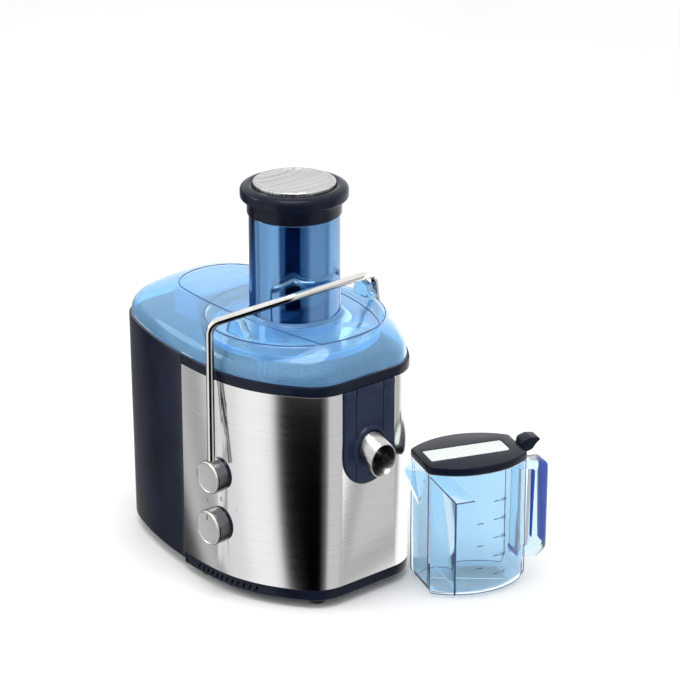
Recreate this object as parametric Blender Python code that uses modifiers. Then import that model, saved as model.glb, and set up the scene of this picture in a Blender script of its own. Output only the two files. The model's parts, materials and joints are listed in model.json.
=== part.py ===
"""A centrifugal juicer with a wide feed chute, a pulp bin and a juice jug.

Every sub-part is its own object. All places are measured from the drive axis,
which is the empty named drive_axis: +X runs to the juice spout, -X to the pulp
bin, -Y to the speed knob, and +Z up from the table.
"""

import math

import bmesh
import bpy
from mathutils import Matrix, Vector
from mathutils.geometry import interpolate_bezier

MM = 0.001
GAP = 0.3 * MM                 # clearance between two pieces that touch
FINE = 1e-5                    # merge distance of welds and screws

# ---- heights above the table --------------------------------------------
FOOT_H = 8 * MM
BASE_TOP = 18 * MM             # top of the black base band
DECK_Z = 106 * MM              # plate that carries the motor and the bowl
RIM_Z = 205 * MM               # top edge of the steel wrap
LID_Z = 214 * MM               # seam between the bowl rim and the lid
PLATEAU_Z = 246 * MM           # flat top of the lid
CHUTE_TOP = 341 * MM
HEAD_TOP = 371 * MM            # top of the pusher

# ---- plan of the body ----------------------------------------------------
FACE_X = 100 * MM              # the flat face that carries the juice spout
END_X = -182 * MM              # far end of the pulp bin
SEAM_X = -50 * MM              # joint between the steel wrap and the bin
HALF_W = 94.5 * MM             # half width at the waist
BACK_R = 92 * MM               # round back of the motor housing, inside the bin
WALL = 2.2 * MM
SHEET = 1.0 * MM               # steel wrap

# ---- feeding, cutting and the chute ---------------------------------------
CHUTE_R = 41 * MM
CHUTE_WALL = 2.6 * MM
BARREL_R = 83 * MM             # round part of the lid over the basket
BOWL_R = 87 * MM
BASKET_R = 74 * MM
CUTTER_R = 36 * MM
PUSHER_R = 37.4 * MM
SHAFT_R = 4 * MM

# ---- knob, arm and spout ----------------------------------------------------
PIVOT_X = 9 * MM
PIVOT_Z = 118 * MM
KNOB_Z = 69 * MM
CAP_R = 15.5 * MM
KNOB_R = 16.5 * MM
ARM_Y = 106.5 * MM
ARM_WIRE_R = 3.6 * MM
SPOUT_R = 15 * MM
SPOUT_TILT = math.radians(24)
SPOUT_Z = 147 * MM             # height of the spout's axis at the face
APRON_HALF = 30 * MM
APRON_LOW = 111.5 * MM

# ---- the jug -----------------------------------------------------------------
JUG_CORNER = (101.5 * MM, 50 * MM)     # its back corner at the spout end
JUG_YAW = math.radians(68.8)
JUG_LENGTH = 95 * MM
JUG_END = 42 * MM
JUG_BOW = 17.5 * MM
JUG_TOP = 122 * MM
JUG_LID_TOP = 130 * MM
JUG_HANDLE_TOP = 113 * MM
JUG_WALL = 2.2 * MM
JUG_OUTER_X = 179.6 * MM               # furthest reach of the jug from the axis
JUG_OUTER_Y = 159.98 * MM
KNOB_FACE = 113 * MM                   # reach of the speed knob on the other side

# the drive axis sits where the whole assembly's box is centred on the origin
AXIS = (-(END_X + JUG_OUTER_X) / 2, -(JUG_OUTER_Y - KNOB_FACE) / 2, 0.0)


# ---- scene, materials and small helpers ---------------------------------------
for old in list(bpy.data.objects):
    bpy.data.objects.remove(old, do_unlink=True)


def collection(name):
    made = bpy.data.collections.new(name)
    bpy.context.scene.collection.children.link(made)
    return made


PARTS = collection("centrifugal_juicer")
CUTTERS = collection("cutters")

FRAME = bpy.data.objects.new("drive_axis", None)
FRAME.location = AXIS
PARTS.objects.link(FRAME)


def finish(name, colour, rough, metal=0.0, alpha=1.0):
    mat = bpy.data.materials.new(name)
    mat.use_nodes = True
    shader = mat.node_tree.nodes["Principled BSDF"]
    shader.inputs["Base Color"].default_value = (*colour, 1.0)
    shader.inputs["Roughness"].default_value = rough
    shader.inputs["Metallic"].default_value = metal
    shader.inputs["Alpha"].default_value = alpha
    mat.diffuse_color = (*colour, alpha)
    return mat


STEEL = finish("brushed_steel", (0.68, 0.68, 0.68), 0.32, 1.0)
POLISHED = finish("polished_steel", (0.80, 0.80, 0.80), 0.12, 1.0)
BLACK = finish("black_plastic", (0.010, 0.013, 0.024), 0.25)
NAVY = finish("navy_plastic", (0.012, 0.022, 0.055), 0.30)
BLUE = finish("clear_blue", (0.25, 0.55, 0.90), 0.08, 0.0, 0.45)
DARK_BLUE = finish("deep_blue", (0.02, 0.05, 0.20), 0.10, 0.0, 0.8)
RUBBER = finish("black_rubber", (0.02, 0.02, 0.02), 0.85)
COPPER = finish("copper", (0.72, 0.33, 0.16), 0.35, 1.0)
IRON = finish("lamination", (0.30, 0.30, 0.31), 0.55, 0.9)
BRASS = finish("brass", (0.75, 0.58, 0.28), 0.35, 1.0)
WHITE = finish("pale_insert", (0.74, 0.80, 0.78), 0.35)
CARBON = finish("carbon", (0.05, 0.05, 0.055), 0.7)


def add(name, mesh, mat=None):
    """A new object on the drive axis; without a material it is a cutter."""
    thing = bpy.data.objects.new(name, mesh)
    (PARTS if mat else CUTTERS).objects.link(thing)
    thing.parent = FRAME
    if mat:
        mesh.materials.append(mat)
    else:
        thing.hide_render = True
        thing.display_type = "WIRE"
    return thing


def from_bmesh(name, bm, mat=None, smooth=True):
    bmesh.ops.recalc_face_normals(bm, faces=bm.faces)
    mesh = bpy.data.meshes.new(name)
    bm.to_mesh(mesh)
    bm.free()
    if smooth:
        mesh.shade_smooth()
        mesh.set_sharp_from_angle(angle=math.radians(35))
    return add(name, mesh, mat)


def box(name, low, high, mat=None):
    bm = bmesh.new()
    centre = (Vector(low) + Vector(high)) / 2
    size = Vector(high) - Vector(low)
    bmesh.ops.create_cube(bm, size=1.0, matrix=Matrix.Translation(centre) @ Matrix.Diagonal((*size, 1.0)))
    return from_bmesh(name, bm, mat, smooth=False)


def rod(name, start, end, radius, mat=None, sides=32, radius2=None):
    """A cylinder or cone from one point to another."""
    start, end = Vector(start), Vector(end)
    along = end - start
    turn = along.to_track_quat("Z", "Y").to_matrix().to_4x4()
    bm = bmesh.new()
    bmesh.ops.create_cone(
        bm, cap_ends=True, segments=sides, radius1=radius,
        radius2=radius if radius2 is None else radius2, depth=along.length,
        matrix=Matrix.Translation((start + end) / 2) @ turn,
    )
    return from_bmesh(name, bm, mat)


def turned(name, profile, mat=None, steps=48, closed=True, at=(0.0, 0.0, 0.0)):
    """A profile of (radius, height) points, top to bottom outside, spun about Z."""
    bm = bmesh.new()
    verts = [bm.verts.new((r, 0.0, z)) for r, z in profile]
    for a, b in zip(verts, verts[1:]):
        bm.edges.new((a, b))
    if closed:
        bm.edges.new((verts[-1], verts[0]))
    mesh = bpy.data.meshes.new(name)
    bm.to_mesh(mesh)
    bm.free()
    thing = add(name, mesh, mat)
    thing.location = at
    spin = thing.modifiers.new("spin", "SCREW")
    spin.steps = spin.render_steps = steps
    spin.use_merge_vertices = True
    spin.merge_threshold = FINE
    return thing


def plate(name, loop, low, high, mat=None):
    """A flat outline of (x, y) points, filled and given its thickness."""
    curve = bpy.data.curves.new(name, "CURVE")
    curve.dimensions = "2D"
    curve.fill_mode = "BOTH"
    curve.extrude = (high - low) / 2
    line = curve.splines.new("POLY")
    line.points.add(len(loop) - 1)
    for point, (x, y) in zip(line.points, loop):
        point.co = (x, y, 0.0, 1.0)
    line.use_cyclic_u = True
    return solid_from_curve(name, curve, mat, Matrix.Translation((0, 0, (low + high) / 2)))


def solid_from_curve(name, curve, mat, place):
    """The curve as a closed mesh with its caps welded."""
    guide = bpy.data.objects.new(name + "_curve", curve)
    bpy.context.scene.collection.objects.link(guide)
    bpy.context.view_layer.update()
    graph = bpy.context.evaluated_depsgraph_get()
    mesh = bpy.data.meshes.new_from_object(guide.evaluated_get(graph))
    bpy.data.objects.remove(guide, do_unlink=True)
    mesh.name = name
    mesh.transform(place)
    bm = bmesh.new()
    bm.from_mesh(mesh)
    bmesh.ops.remove_doubles(bm, verts=bm.verts, dist=FINE)
    return from_bmesh(name, bm, mat)


def wire(name, points, radius, mat, sides=2):
    """A round bar along a list of points."""
    curve = bpy.data.curves.new(name, "CURVE")
    curve.dimensions = "3D"
    curve.bevel_depth = radius
    curve.bevel_resolution = sides
    curve.use_fill_caps = True
    line = curve.splines.new("POLY")
    line.points.add(len(points) - 1)
    for point, place in zip(line.points, points):
        point.co = (*place, 1.0)
    return solid_from_curve(name, curve, mat, Matrix.Identity(4))


def rounded_path(points, radius, steps=5):
    """The same route with each inner corner turned into an arc."""
    points = [Vector(p) for p in points]
    route = [points[0]]
    for before, corner, after in zip(points, points[1:], points[2:]):
        a, b = (before - corner).normalized(), (after - corner).normalized()
        cut = radius / math.tan(a.angle(b) / 2)
        start, end = corner + a * cut, corner + b * cut
        route += interpolate_bezier(start, corner + a * cut * 0.45, corner + b * cut * 0.45, end, steps)
    return [*route, points[-1]]


def cut(target, *cutters, how="DIFFERENCE"):
    for cutter in cutters:
        step = target.modifiers.new(how.lower(), "BOOLEAN")
        step.operation = how
        step.solver = "EXACT"
        step.object = cutter


def bezier_2d(*knots, steps):
    made = interpolate_bezier(*(Vector((x * MM, y * MM, 0.0)) for x, y in knots), steps + 1)
    return [(p.x, p.y) for p in made]


def inset(loop, distance):
    """The closed loop, drawn anticlockwise, moved inwards by a distance."""
    moved = []
    for before, here, after in zip([loop[-1], *loop[:-1]], loop, [*loop[1:], loop[0]]):
        a = (Vector(here) - Vector(before)).normalized()
        b = (Vector(after) - Vector(here)).normalized()
        normal = Vector((-a.y - b.y, a.x + b.x)).normalized()
        share = max(normal.dot(Vector((-a.y, a.x))), 0.3)
        moved.append((here[0] + normal.x * distance / share, here[1] + normal.y * distance / share))
    return moved


# ---- the body's plan -------------------------------------------------------------
def half_plan():
    """One side of the plan, from the spout face back to the bin's far end."""
    corner = bezier_2d((100, 32), (100, 45), (93, 55.5), (86, 61), steps=5)
    flank = bezier_2d((86, 61), (62, 80), (35, 93.5), (0, 94.5), steps=7)
    waist = bezier_2d((0, 94.5), (-60, 96.5), (-125, 81), (-158, 66), steps=8)
    end = bezier_2d((-158, 66), (-172, 59.5), (-182, 46), (-182, 26), steps=5)
    return [*corner, *flank[1:], *waist[1:], *end[1:]]


def full_plan():
    side = half_plan()
    return [*side, *((x, -y) for x, y in reversed(side))]


def split_at_seam(loop, x_seam, front=True):
    """The stretch of a loop on one side of the seam, ending exactly on it."""
    crossings = []
    for i, (a, b) in enumerate(zip(loop, [*loop[1:], loop[0]])):
        if (a[0] - x_seam) * (b[0] - x_seam) < 0:
            share = (x_seam - a[0]) / (b[0] - a[0])
            crossings.append((i, (x_seam, a[1] + share * (b[1] - a[1]))))
    (first, near), (second, far) = crossings
    behind = [near, *loop[first + 1:second + 1], far]
    ahead = [far, *loop[second + 1:], *loop[:first + 1], near]
    return ahead if front else behind


def back_arc(radius, x_seam, steps=20):
    """The round back of the motor housing, from +Y round to -Y."""
    start = math.acos(x_seam / radius)
    return [
        (radius * math.cos(a), radius * math.sin(a))
        for a in (start + (2 * math.pi - 2 * start) * i / steps for i in range(steps + 1))
    ]


def base_plan(distance=0.0):
    """The motor base: steel sides in front of the seam, a round back behind."""
    sides = split_at_seam(inset(full_plan(), distance), SEAM_X + distance)
    return [*sides, *back_arc(BACK_R - distance, SEAM_X + distance)]


def bin_plan(distance=0.0):
    """The pulp bin: a crescent behind the seam, hollow towards the housing."""
    clear = 1.5 * MM
    outside = split_at_seam(inset(full_plan(), distance), SEAM_X - GAP - distance, front=False)
    hollow = back_arc(BACK_R + clear + distance, SEAM_X - GAP - distance)
    return [*outside, *reversed(hollow)]


def circle(radius, steps=48):
    return [(radius * math.cos(2 * math.pi * i / steps), radius * math.sin(2 * math.pi * i / steps))
            for i in range(steps)]


# ---- base ----------------------------------------------------------------------------
def make_base():
    pan = plate("base_pan", base_plan(0.4 * MM), FOOT_H, BASE_TOP, BLACK)
    cut(pan, plate("pan_pocket", base_plan(3.2 * MM), FOOT_H + 3 * MM, BASE_TOP + MM))
    for side in (-1, 1):
        for i in range(10):
            x = (-20 + 7.5 * i) * MM
            slot = box("vent_%d_%d" % (side, i), (x, side * 86 * MM - 12 * MM, FOOT_H + 3.6 * MM),
                       (x + 2.6 * MM, side * 86 * MM + 12 * MM, BASE_TOP - 1.6 * MM))
            cut(pan, slot)
    wrap_loop = split_at_seam(full_plan(), SEAM_X)
    back_loop = split_at_seam(inset(full_plan(), SHEET), SEAM_X)
    wrap = plate("steel_wrap", [*wrap_loop, *reversed(back_loop)], BASE_TOP + GAP, RIM_Z, STEEL)
    shell = plate("inner_housing", base_plan(SHEET + GAP), BASE_TOP + GAP, RIM_Z - GAP, BLACK)
    cut(shell, plate("housing_core", base_plan(SHEET + GAP + WALL), 0.0, RIM_Z + 20 * MM))
    mouth = arched("spout_slot", APRON_HALF + 0.5 * MM, APRON_LOW - 0.5 * MM,
                   FACE_X - 12 * MM, FACE_X + 5 * MM)
    holes = [
        rod("arm_hole", (PIVOT_X, -120 * MM, PIVOT_Z), (PIVOT_X, 120 * MM, PIVOT_Z), 5 * MM),
        rod("knob_hole", (PIVOT_X, -120 * MM, KNOB_Z), (PIVOT_X, -70 * MM, KNOB_Z), 5 * MM),
    ]
    cut(wrap, mouth, *holes)
    cut(shell, mouth, *holes)
    deck = plate("motor_deck", base_plan(SHEET + WALL + 2 * GAP), DECK_Z, DECK_Z + 3 * MM, BLACK)
    cut(deck, rod("deck_hole", (0, 0, 0), (0, 0, RIM_Z), 14 * MM))
    box("cord_gland", (-86 * MM, -5 * MM, 22 * MM), (-70 * MM, 5 * MM, 30 * MM), RUBBER)


def arched(name, half, low, x0, x1, mat=None):
    """A slot with a round foot and an open top, running along X."""
    centre = low + half
    steps = 14
    loop = [(half, RIM_Z + 30 * MM), (-half, RIM_Z + 30 * MM)]
    loop += [(half * math.cos(a), centre + half * math.sin(a))
             for a in (math.pi + math.pi * i / steps for i in range(steps + 1))]
    solid = plate(name, loop, 0.0, x1 - x0, mat)
    solid.matrix_basis = Matrix(((0, 0, 1, x0), (1, 0, 0, 0), (0, 1, 0, 0), (0, 0, 0, 1)))
    return solid


def make_feet():
    profile = [(0, FOOT_H - GAP), (7 * MM, FOOT_H - GAP), (8 * MM, MM), (7 * MM, 0), (0, 0)]
    places = {"front_left": (-30, -78), "front_right": (80, -44),
              "rear_left": (-30, 78), "rear_right": (80, 44)}
    for name, (x, y) in places.items():
        turned("foot_" + name, profile, RUBBER, steps=20, closed=False, at=(x * MM, y * MM, 0))


def rectangle(half_x, half_y):
    return [(-half_x, -half_y), (half_x, -half_y), (half_x, half_y), (-half_x, half_y)]


def make_motor():
    """A universal motor: field, armature, commutator, brushes, bearings and fan."""
    field = plate("field_core", rectangle(32 * MM, 27 * MM), 46 * MM, 74 * MM, IRON)
    cut(field, rod("field_bore", (0, 0, 40 * MM), (0, 0, 80 * MM), 20 * MM, sides=32))
    for side, name in ((-1, "a"), (1, "b")):
        coil = box("field_coil_" + name, (side * 26 * MM - 4.5 * MM, -16 * MM, 74.3 * MM),
                   (side * 26 * MM + 4.5 * MM, 16 * MM, 80 * MM), COPPER)
        bevel(coil, 1.5 * MM)
        box("carbon_brush_" + name, (-3 * MM, side * 10.6 * MM, 35.5 * MM),
            (3 * MM, side * 20 * MM, 39.5 * MM), CARBON)
        holder = box("brush_holder_" + name, (-5 * MM, side * 11.5 * MM, 33.5 * MM),
                     (5 * MM, side * 24 * MM, 41.5 * MM), BRASS)
        cut(holder, box("brush_way_" + name, (-3.3 * MM, side * 5 * MM, 35.2 * MM),
                        (3.3 * MM, side * 40 * MM, 39.8 * MM)))
    bearing_h, bore = 4 * MM, SHAFT_R + 0.05 * MM
    for name, low, high, foot, head in (("lower", 26 * MM, 29 * MM, 11.3 * MM, 46 * MM - GAP),
                                        ("upper", 82 * MM, 85 * MM, 74 * MM + GAP, DECK_Z - GAP)):
        frame = plate("motor_bracket_" + name, rectangle(40 * MM, 31 * MM), low, high, IRON)
        bearing_low = low - 0.5 * MM
        cut(frame, rod("bearing_seat_" + name, (0, 0, low - 20 * MM), (0, 0, high + 20 * MM), 9.3 * MM))
        for i, (x, y) in enumerate(rectangle(27 * MM, 22 * MM)):
            post = rod("post_%s_%d" % (name, i), (x, y, foot), (x, y, head), 3 * MM, sides=12)
            cut(frame, post, how="UNION")
        turned("bearing_" + name, [(9 * MM, bearing_low + bearing_h), (9 * MM, bearing_low),
                                   (bore, bearing_low), (bore, bearing_low + bearing_h)], POLISHED, steps=32)
    turned("seal_ring", [(13.7 * MM, DECK_Z + 6 * MM), (13.7 * MM, DECK_Z - MM), (6.5 * MM, DECK_Z - MM),
                         (6.5 * MM, DECK_Z + MM), (11 * MM, DECK_Z + 2 * MM), (11 * MM, DECK_Z + 6 * MM)],
           RUBBER, steps=32)


def bevel(thing, width, segments=2):
    step = thing.modifiers.new("edge", "BEVEL")
    step.width = width
    step.segments = segments
    step.limit_method = "ANGLE"


def make_rotor():
    """What turns: shaft, core, windings, commutator, fan and drive coupling."""
    r = SHAFT_R
    turned("motor_shaft", [(0, 128 * MM), (r, 128 * MM), (r, 23 * MM), (0, 23 * MM)],
           POLISHED, steps=24, closed=False)
    g = r + 0.05 * MM
    turned("armature_core", [(19.4 * MM, 73 * MM), (19.4 * MM, 47 * MM), (g, 47 * MM), (g, 73 * MM)],
           IRON, steps=32)
    turned("armature_winding", [(g, 79 * MM), (10 * MM, 79 * MM), (16 * MM, 76 * MM),
                                (16 * MM, 73.3 * MM), (g, 73.3 * MM)], COPPER, steps=32)
    turned("commutator", [(10 * MM, 42 * MM), (10 * MM, 33 * MM), (g, 33 * MM), (g, 42 * MM)],
           COPPER, steps=24)
    turned("cooling_fan", [(g, 97 * MM), (9 * MM, 97 * MM), (9 * MM, 92 * MM), (30 * MM, 92 * MM),
                           (30 * MM, 90 * MM), (g, 90 * MM)], NAVY, steps=32)
    turned("drive_coupling", [(g, 124 * MM), (9.5 * MM, 124 * MM), (10.5 * MM, 113 * MM), (6 * MM, 112 * MM),
                              (6 * MM, 109.5 * MM), (g, 109.5 * MM)], NAVY, steps=24)


# ---- controls ---------------------------------------------------------------------------
def on_side(name, profile, mat, z, side=-1, steps=32):
    """A turned piece with its axis along Y, pointing outwards on one side."""
    thing = turned(name, profile, mat, steps=steps, closed=False, at=(PIVOT_X, 0, z))
    thing.rotation_euler = (math.radians(90) * (1 if side < 0 else -1), 0, 0)
    return thing


def cap_profile(radius, near, far):
    """A flat knob with a bevelled rim, from its far face to its near one."""
    edge = 1.2 * MM
    return [(0, far), (radius - edge, far), (radius, far - edge), (radius, near), (0, near)]


def make_controls():
    on_side("speed_knob", cap_profile(KNOB_R, 99.3 * MM, KNOB_FACE), STEEL, KNOB_Z)
    on_side("knob_collar", cap_profile(KNOB_R - 0.8 * MM, 95.4 * MM, 99 * MM), BLACK, KNOB_Z)
    on_side("knob_spindle", [(0, 95.1 * MM), (3 * MM, 95.1 * MM), (3 * MM, 86 * MM), (0, 86 * MM)],
            BRASS, KNOB_Z)
    box("speed_switch", (PIVOT_X - 12 * MM, -85.7 * MM, KNOB_Z - 12 * MM),
        (PIVOT_X + 12 * MM, -72 * MM, KNOB_Z + 12 * MM), BLACK)
    for side, name in ((-1, "front"), (1, "rear")):
        cap = on_side("arm_cap_" + name, cap_profile(CAP_R, 99.3 * MM, 112.5 * MM), STEEL, PIVOT_Z, side)
        way = rod("wire_way_" + name, (PIVOT_X, side * ARM_Y, PIVOT_Z + 6 * MM),
                  (PIVOT_X - 1.6 * MM, side * (ARM_Y - 1.3 * MM), PIVOT_Z + 26 * MM),
                  ARM_WIRE_R + GAP, sides=16)
        cut(cap, way)
        on_side("arm_collar_" + name, cap_profile(CAP_R - 0.8 * MM, 95.4 * MM, 99 * MM),
                BLACK, PIVOT_Z, side)
        on_side("arm_pivot_" + name, [(0, 95.1 * MM), (4.4 * MM, 95.1 * MM), (4.4 * MM, 84 * MM),
                                      (0, 84 * MM)], POLISHED, PIVOT_Z, side, steps=24)
    box("safety_switch", (PIVOT_X + 8 * MM, -83.5 * MM, PIVOT_Z - 4 * MM),
        (PIVOT_X + 20 * MM, -70 * MM, PIVOT_Z + 9 * MM), BLACK)
    front = [(PIVOT_X, -ARM_Y, PIVOT_Z + 7 * MM), (-2 * MM, -97.5 * MM, 258 * MM),
             (46.5 * MM, -42 * MM, 283 * MM)]
    rear = [(x, -y, z) for x, y, z in reversed(front)]
    wire("locking_arm", rounded_path([*front, *rear], 13 * MM), ARM_WIRE_R, POLISHED)


# ---- bowl, basket and cutter ---------------------------------------------------------------
def make_bowl():
    r, w, floor, hub = BOWL_R, 2.2 * MM, 139 * MM, 17 * MM
    tub = turned("juice_bowl", [
        (r, LID_Z - 1.5 * MM), (r, floor + 12 * MM), (r - 9 * MM, floor), (hub, floor - 4 * MM),
        (hub, floor + 12 * MM), (hub + w, floor + 12 * MM), (hub + w, floor - MM),
        (r - 10 * MM, floor + w), (r - w, floor + 13 * MM), (r - w, LID_Z - 1.5 * MM),
    ], BLACK, steps=56)
    rim = plate("bowl_rim_form", base_plan(0.0), RIM_Z + GAP, LID_Z)
    cut(rim, plate("rim_pocket", base_plan(3 * MM), RIM_Z - MM, LID_Z - 3 * MM))
    cut(rim, plate("rim_hole", circle(r - w / 2), RIM_Z - 5 * MM, LID_Z + MM))
    cut(tub, rim, how="UNION")
    axis = Vector((math.cos(SPOUT_TILT), 0, -math.sin(SPOUT_TILT)))
    root = Vector((FACE_X, 0, SPOUT_Z))
    duct = rod("duct_form", root - axis * 22 * MM, root + axis * 12 * MM, SPOUT_R + 2.5 * MM, sides=28)
    cut(duct, box("duct_front", (FACE_X - 2.8 * MM, -50 * MM, 90 * MM), (160 * MM, 50 * MM, 200 * MM)))
    bore = rod("duct_bore", root - axis * 30 * MM, root + axis * 5 * MM, SPOUT_R - 2.2 * MM, sides=28)
    cut(duct, rod("duct_keep", (0, 0, floor - 20 * MM), (0, 0, LID_Z), r - w, sides=56))
    cut(tub, duct, how="UNION")
    cut(tub, bore)
    apron = arched("spout_apron", APRON_HALF, APRON_LOW, FACE_X - 2.5 * MM, FACE_X + 1.5 * MM, NAVY)
    top = box("apron_top", (80 * MM, -50 * MM, RIM_Z), (120 * MM, 50 * MM, RIM_Z + 60 * MM))
    grooves = [box("apron_groove_%d" % s, (FACE_X + 0.7 * MM, s * 16 * MM - 0.8 * MM, 60 * MM),
                   (FACE_X + 9 * MM, s * 16 * MM + 0.8 * MM, 260 * MM)) for s in (-1, 1)]
    cut(apron, top, *grooves)
    cut(apron, rod("apron_hole", root - axis * 30 * MM, root + axis * 30 * MM, SPOUT_R + 2 * GAP, sides=28))
    tube = rod("spout_tube", root - axis * 14 * MM, root + axis * 32 * MM, SPOUT_R, STEEL, sides=28)
    cut(tube, rod("spout_bore", root - axis * 30 * MM, root + axis * 60 * MM, SPOUT_R - 1.2 * MM, sides=28))
    tip = root + axis * 20 * MM
    nose = box("spout_nose", (0, -40 * MM, -60 * MM), (60 * MM, 40 * MM, 60 * MM))
    nose.matrix_basis = Matrix.Translation(tip) @ Matrix.Rotation(math.radians(2), 4, "Y")
    cut(tube, nose, box("spout_root", (60 * MM, -50 * MM, 90 * MM), (FACE_X - 2.4 * MM, 50 * MM, 200 * MM)))


def make_basket():
    """Sieve, rims, base and grating disc, lifted off the coupling as one."""
    b = BASKET_R
    turned("basket_sieve", [(b - 2.3 * MM, 226 * MM), (CUTTER_R + 5.4 * MM, 172 * MM),
                            (CUTTER_R + 4.4 * MM, 172 * MM), (b - 3.3 * MM, 226 * MM)], POLISHED, steps=40)
    turned("basket_rim", [(b, 233 * MM), (b + 3 * MM, 232 * MM), (b + 3 * MM, 227 * MM), (b, 226.3 * MM),
                          (b - 4 * MM, 226.3 * MM), (b - 4 * MM, 229 * MM), (b - MM, 230 * MM)],
           BLUE, steps=40)
    turned("basket_base", [(42 * MM, 171.7 * MM), (42 * MM, 166 * MM), (24 * MM, 158 * MM),
                           (15.5 * MM, 150 * MM), (15.5 * MM, 116 * MM), (11.5 * MM, 116 * MM),
                           (11.5 * MM, 156 * MM), (5 * MM, 158 * MM), (5 * MM, 171.7 * MM)],
           NAVY, steps=32)
    turned("cutter_disc", [(0, 175 * MM), (6 * MM, 174 * MM), (8 * MM, 173.6 * MM), (CUTTER_R, 173.6 * MM),
                           (CUTTER_R, 172 * MM), (0, 172 * MM)], POLISHED, steps=40, closed=False)


# ---- lid and pusher ---------------------------------------------------------------------------
def lid_edge(height):
    """How far the lid's side has drawn in at a height, from its foot to its top."""
    share = max(0.0, min(1.0, (height - LID_Z) / (PLATEAU_Z - LID_Z)))
    return 1.0 - math.sqrt(max(0.0, 1.0 - share ** 2.6))


def plateau_plan():
    """Flat top of the lid: nearly straight in front, bowed behind, round at the bin end."""
    near = bezier_2d((-118, -38), (-60, -50), (10, -46), (78, -36), steps=10)
    nose = bezier_2d((78, -36), (84, -20), (84, 18), (77, 34), steps=6)
    far = bezier_2d((77, 34), (40, 66), (-70, 76), (-124, 44), steps=10)
    end = bezier_2d((-124, 44), (-152, 28), (-152, -24), (-118, -38), steps=10)
    return [*near[:-1], *nose[:-1], *far[:-1], *end[:-1]]


def by_bearing(loop, count):
    """The loop read at even bearings about the middle of the body."""
    middle = Vector((-30 * MM, 0))
    points = [Vector(p) - middle for p in loop]
    found = []
    for i in range(count):
        ray = Vector((math.cos(2 * math.pi * i / count), math.sin(2 * math.pi * i / count)))
        for a, b in zip(points, [*points[1:], points[0]]):
            side_a, side_b = ray.x * a.y - ray.y * a.x, ray.x * b.y - ray.y * b.x
            if side_a <= 0 < side_b or side_b <= 0 < side_a:
                hit = a.lerp(b, side_a / (side_a - side_b))
                if hit.dot(ray) > 0:
                    found.append(hit + middle)
                    break
    return found


def lid_form(name, distance, low, mat=None):
    """The lid's outer or inner form: its side drawn in to the flat top."""
    count = 64
    foot = by_bearing(inset(full_plan(), 4.5 * MM + distance), count)
    top = by_bearing(inset(plateau_plan(), distance), count)
    levels = [low, LID_Z + 3 * MM, LID_Z + 10 * MM, LID_Z + 17 * MM, LID_Z + 23 * MM,
              LID_Z + 28 * MM, PLATEAU_Z - distance]
    bm = bmesh.new()
    rings = []
    for level in levels:
        share = lid_edge(level + distance) if level > low else 0.0
        share = 1.0 if level == levels[-1] else share
        rings.append([bm.verts.new((*(f.lerp(t, share)), level)) for f, t in zip(foot, top)])
    for below, above in zip(rings, rings[1:]):
        for i in range(count):
            j = (i + 1) % count
            bm.faces.new((below[i], below[j], above[j], above[i]))
    bm.faces.new(rings[-1])
    bm.faces.new(list(reversed(rings[0])))
    return from_bmesh(name, bm, mat)


def barrel_profile(distance, low):
    r, top, soft = BARREL_R - distance, PLATEAU_Z - distance, 5 * MM
    shoulder = [(r - soft + soft * math.sin(a), top - soft + soft * math.cos(a))
                for a in (math.pi / 2 * i / 4 for i in range(5))]
    return [(0, top), *shoulder, (r, low), (0, low)]


def make_lid():
    wall = 2.4 * MM
    shell = lid_form("juicer_lid", 0.0, LID_Z + GAP, BLUE)
    barrel = turned("barrel_form", barrel_profile(0.0, LID_Z + GAP), steps=56, closed=False)
    cut(shell, barrel, how="UNION")
    flare = 6 * MM
    curve = [(CHUTE_R + flare - flare * math.sin(a), PLATEAU_Z + flare - flare * math.cos(a))
             for a in (math.pi / 2 * i / 4 for i in range(4, -1, -1))]
    tube = [(0, CHUTE_TOP), (CHUTE_R, CHUTE_TOP), *curve, (CHUTE_R + flare, PLATEAU_Z - MM),
            (0, PLATEAU_Z - MM)]
    cut(shell, turned("chute_form", tube, steps=48, closed=False), how="UNION")
    cut(shell, lid_form("lid_hollow", wall, LID_Z - 5 * MM))
    cut(shell, turned("barrel_hollow", barrel_profile(wall, LID_Z - 5 * MM), steps=56, closed=False))
    inner = CHUTE_R - CHUTE_WALL
    throat = turned("throat_form", [(CHUTE_R, PLATEAU_Z - MM), (CHUTE_R, 184 * MM), (inner, 184 * MM),
                                    (inner, PLATEAU_Z - MM)], steps=48)
    cut(shell, throat, how="UNION")
    bore = [(0, CHUTE_TOP + 9 * MM), (inner, CHUTE_TOP + 9 * MM), (inner, 170 * MM), (0, 170 * MM)]
    cut(shell, turned("chute_bore", bore, steps=48, closed=False))
    for side, name in ((-1, "front"), (1, "rear")):
        catch(name, side)
    guide = box("pulp_guide", (-128 * MM, -36 * MM, LID_Z + 4 * MM), (-96 * MM, 36 * MM, 240 * MM), BLUE)
    cut(guide, box("guide_hollow", (-126 * MM, -34 * MM, 200 * MM), (-80 * MM, 34 * MM, 238 * MM)))


def catch(name, side):
    """A hooked lug on the lid that the locking arm springs into."""
    x, y, width = 14 * MM, 74.5 * MM, 8 * MM
    outline = [(-10, 246.3), (13, 246.3), (12, 249), (6.5, 252.5), (3.5, 258), (-4.5, 261.2),
               (-6.5, 270), (-11, 270)]
    curve = [(px * MM + x, pz * MM) for px, pz in outline]
    lug = plate("lid_catch_" + name, curve, -width / 2, width / 2, BLUE)
    lug.matrix_basis = Matrix(((1, 0, 0, 0), (0, 0, -1, side * y), (0, 1, 0, 0), (0, 0, 0, 1)))
    return lug


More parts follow.
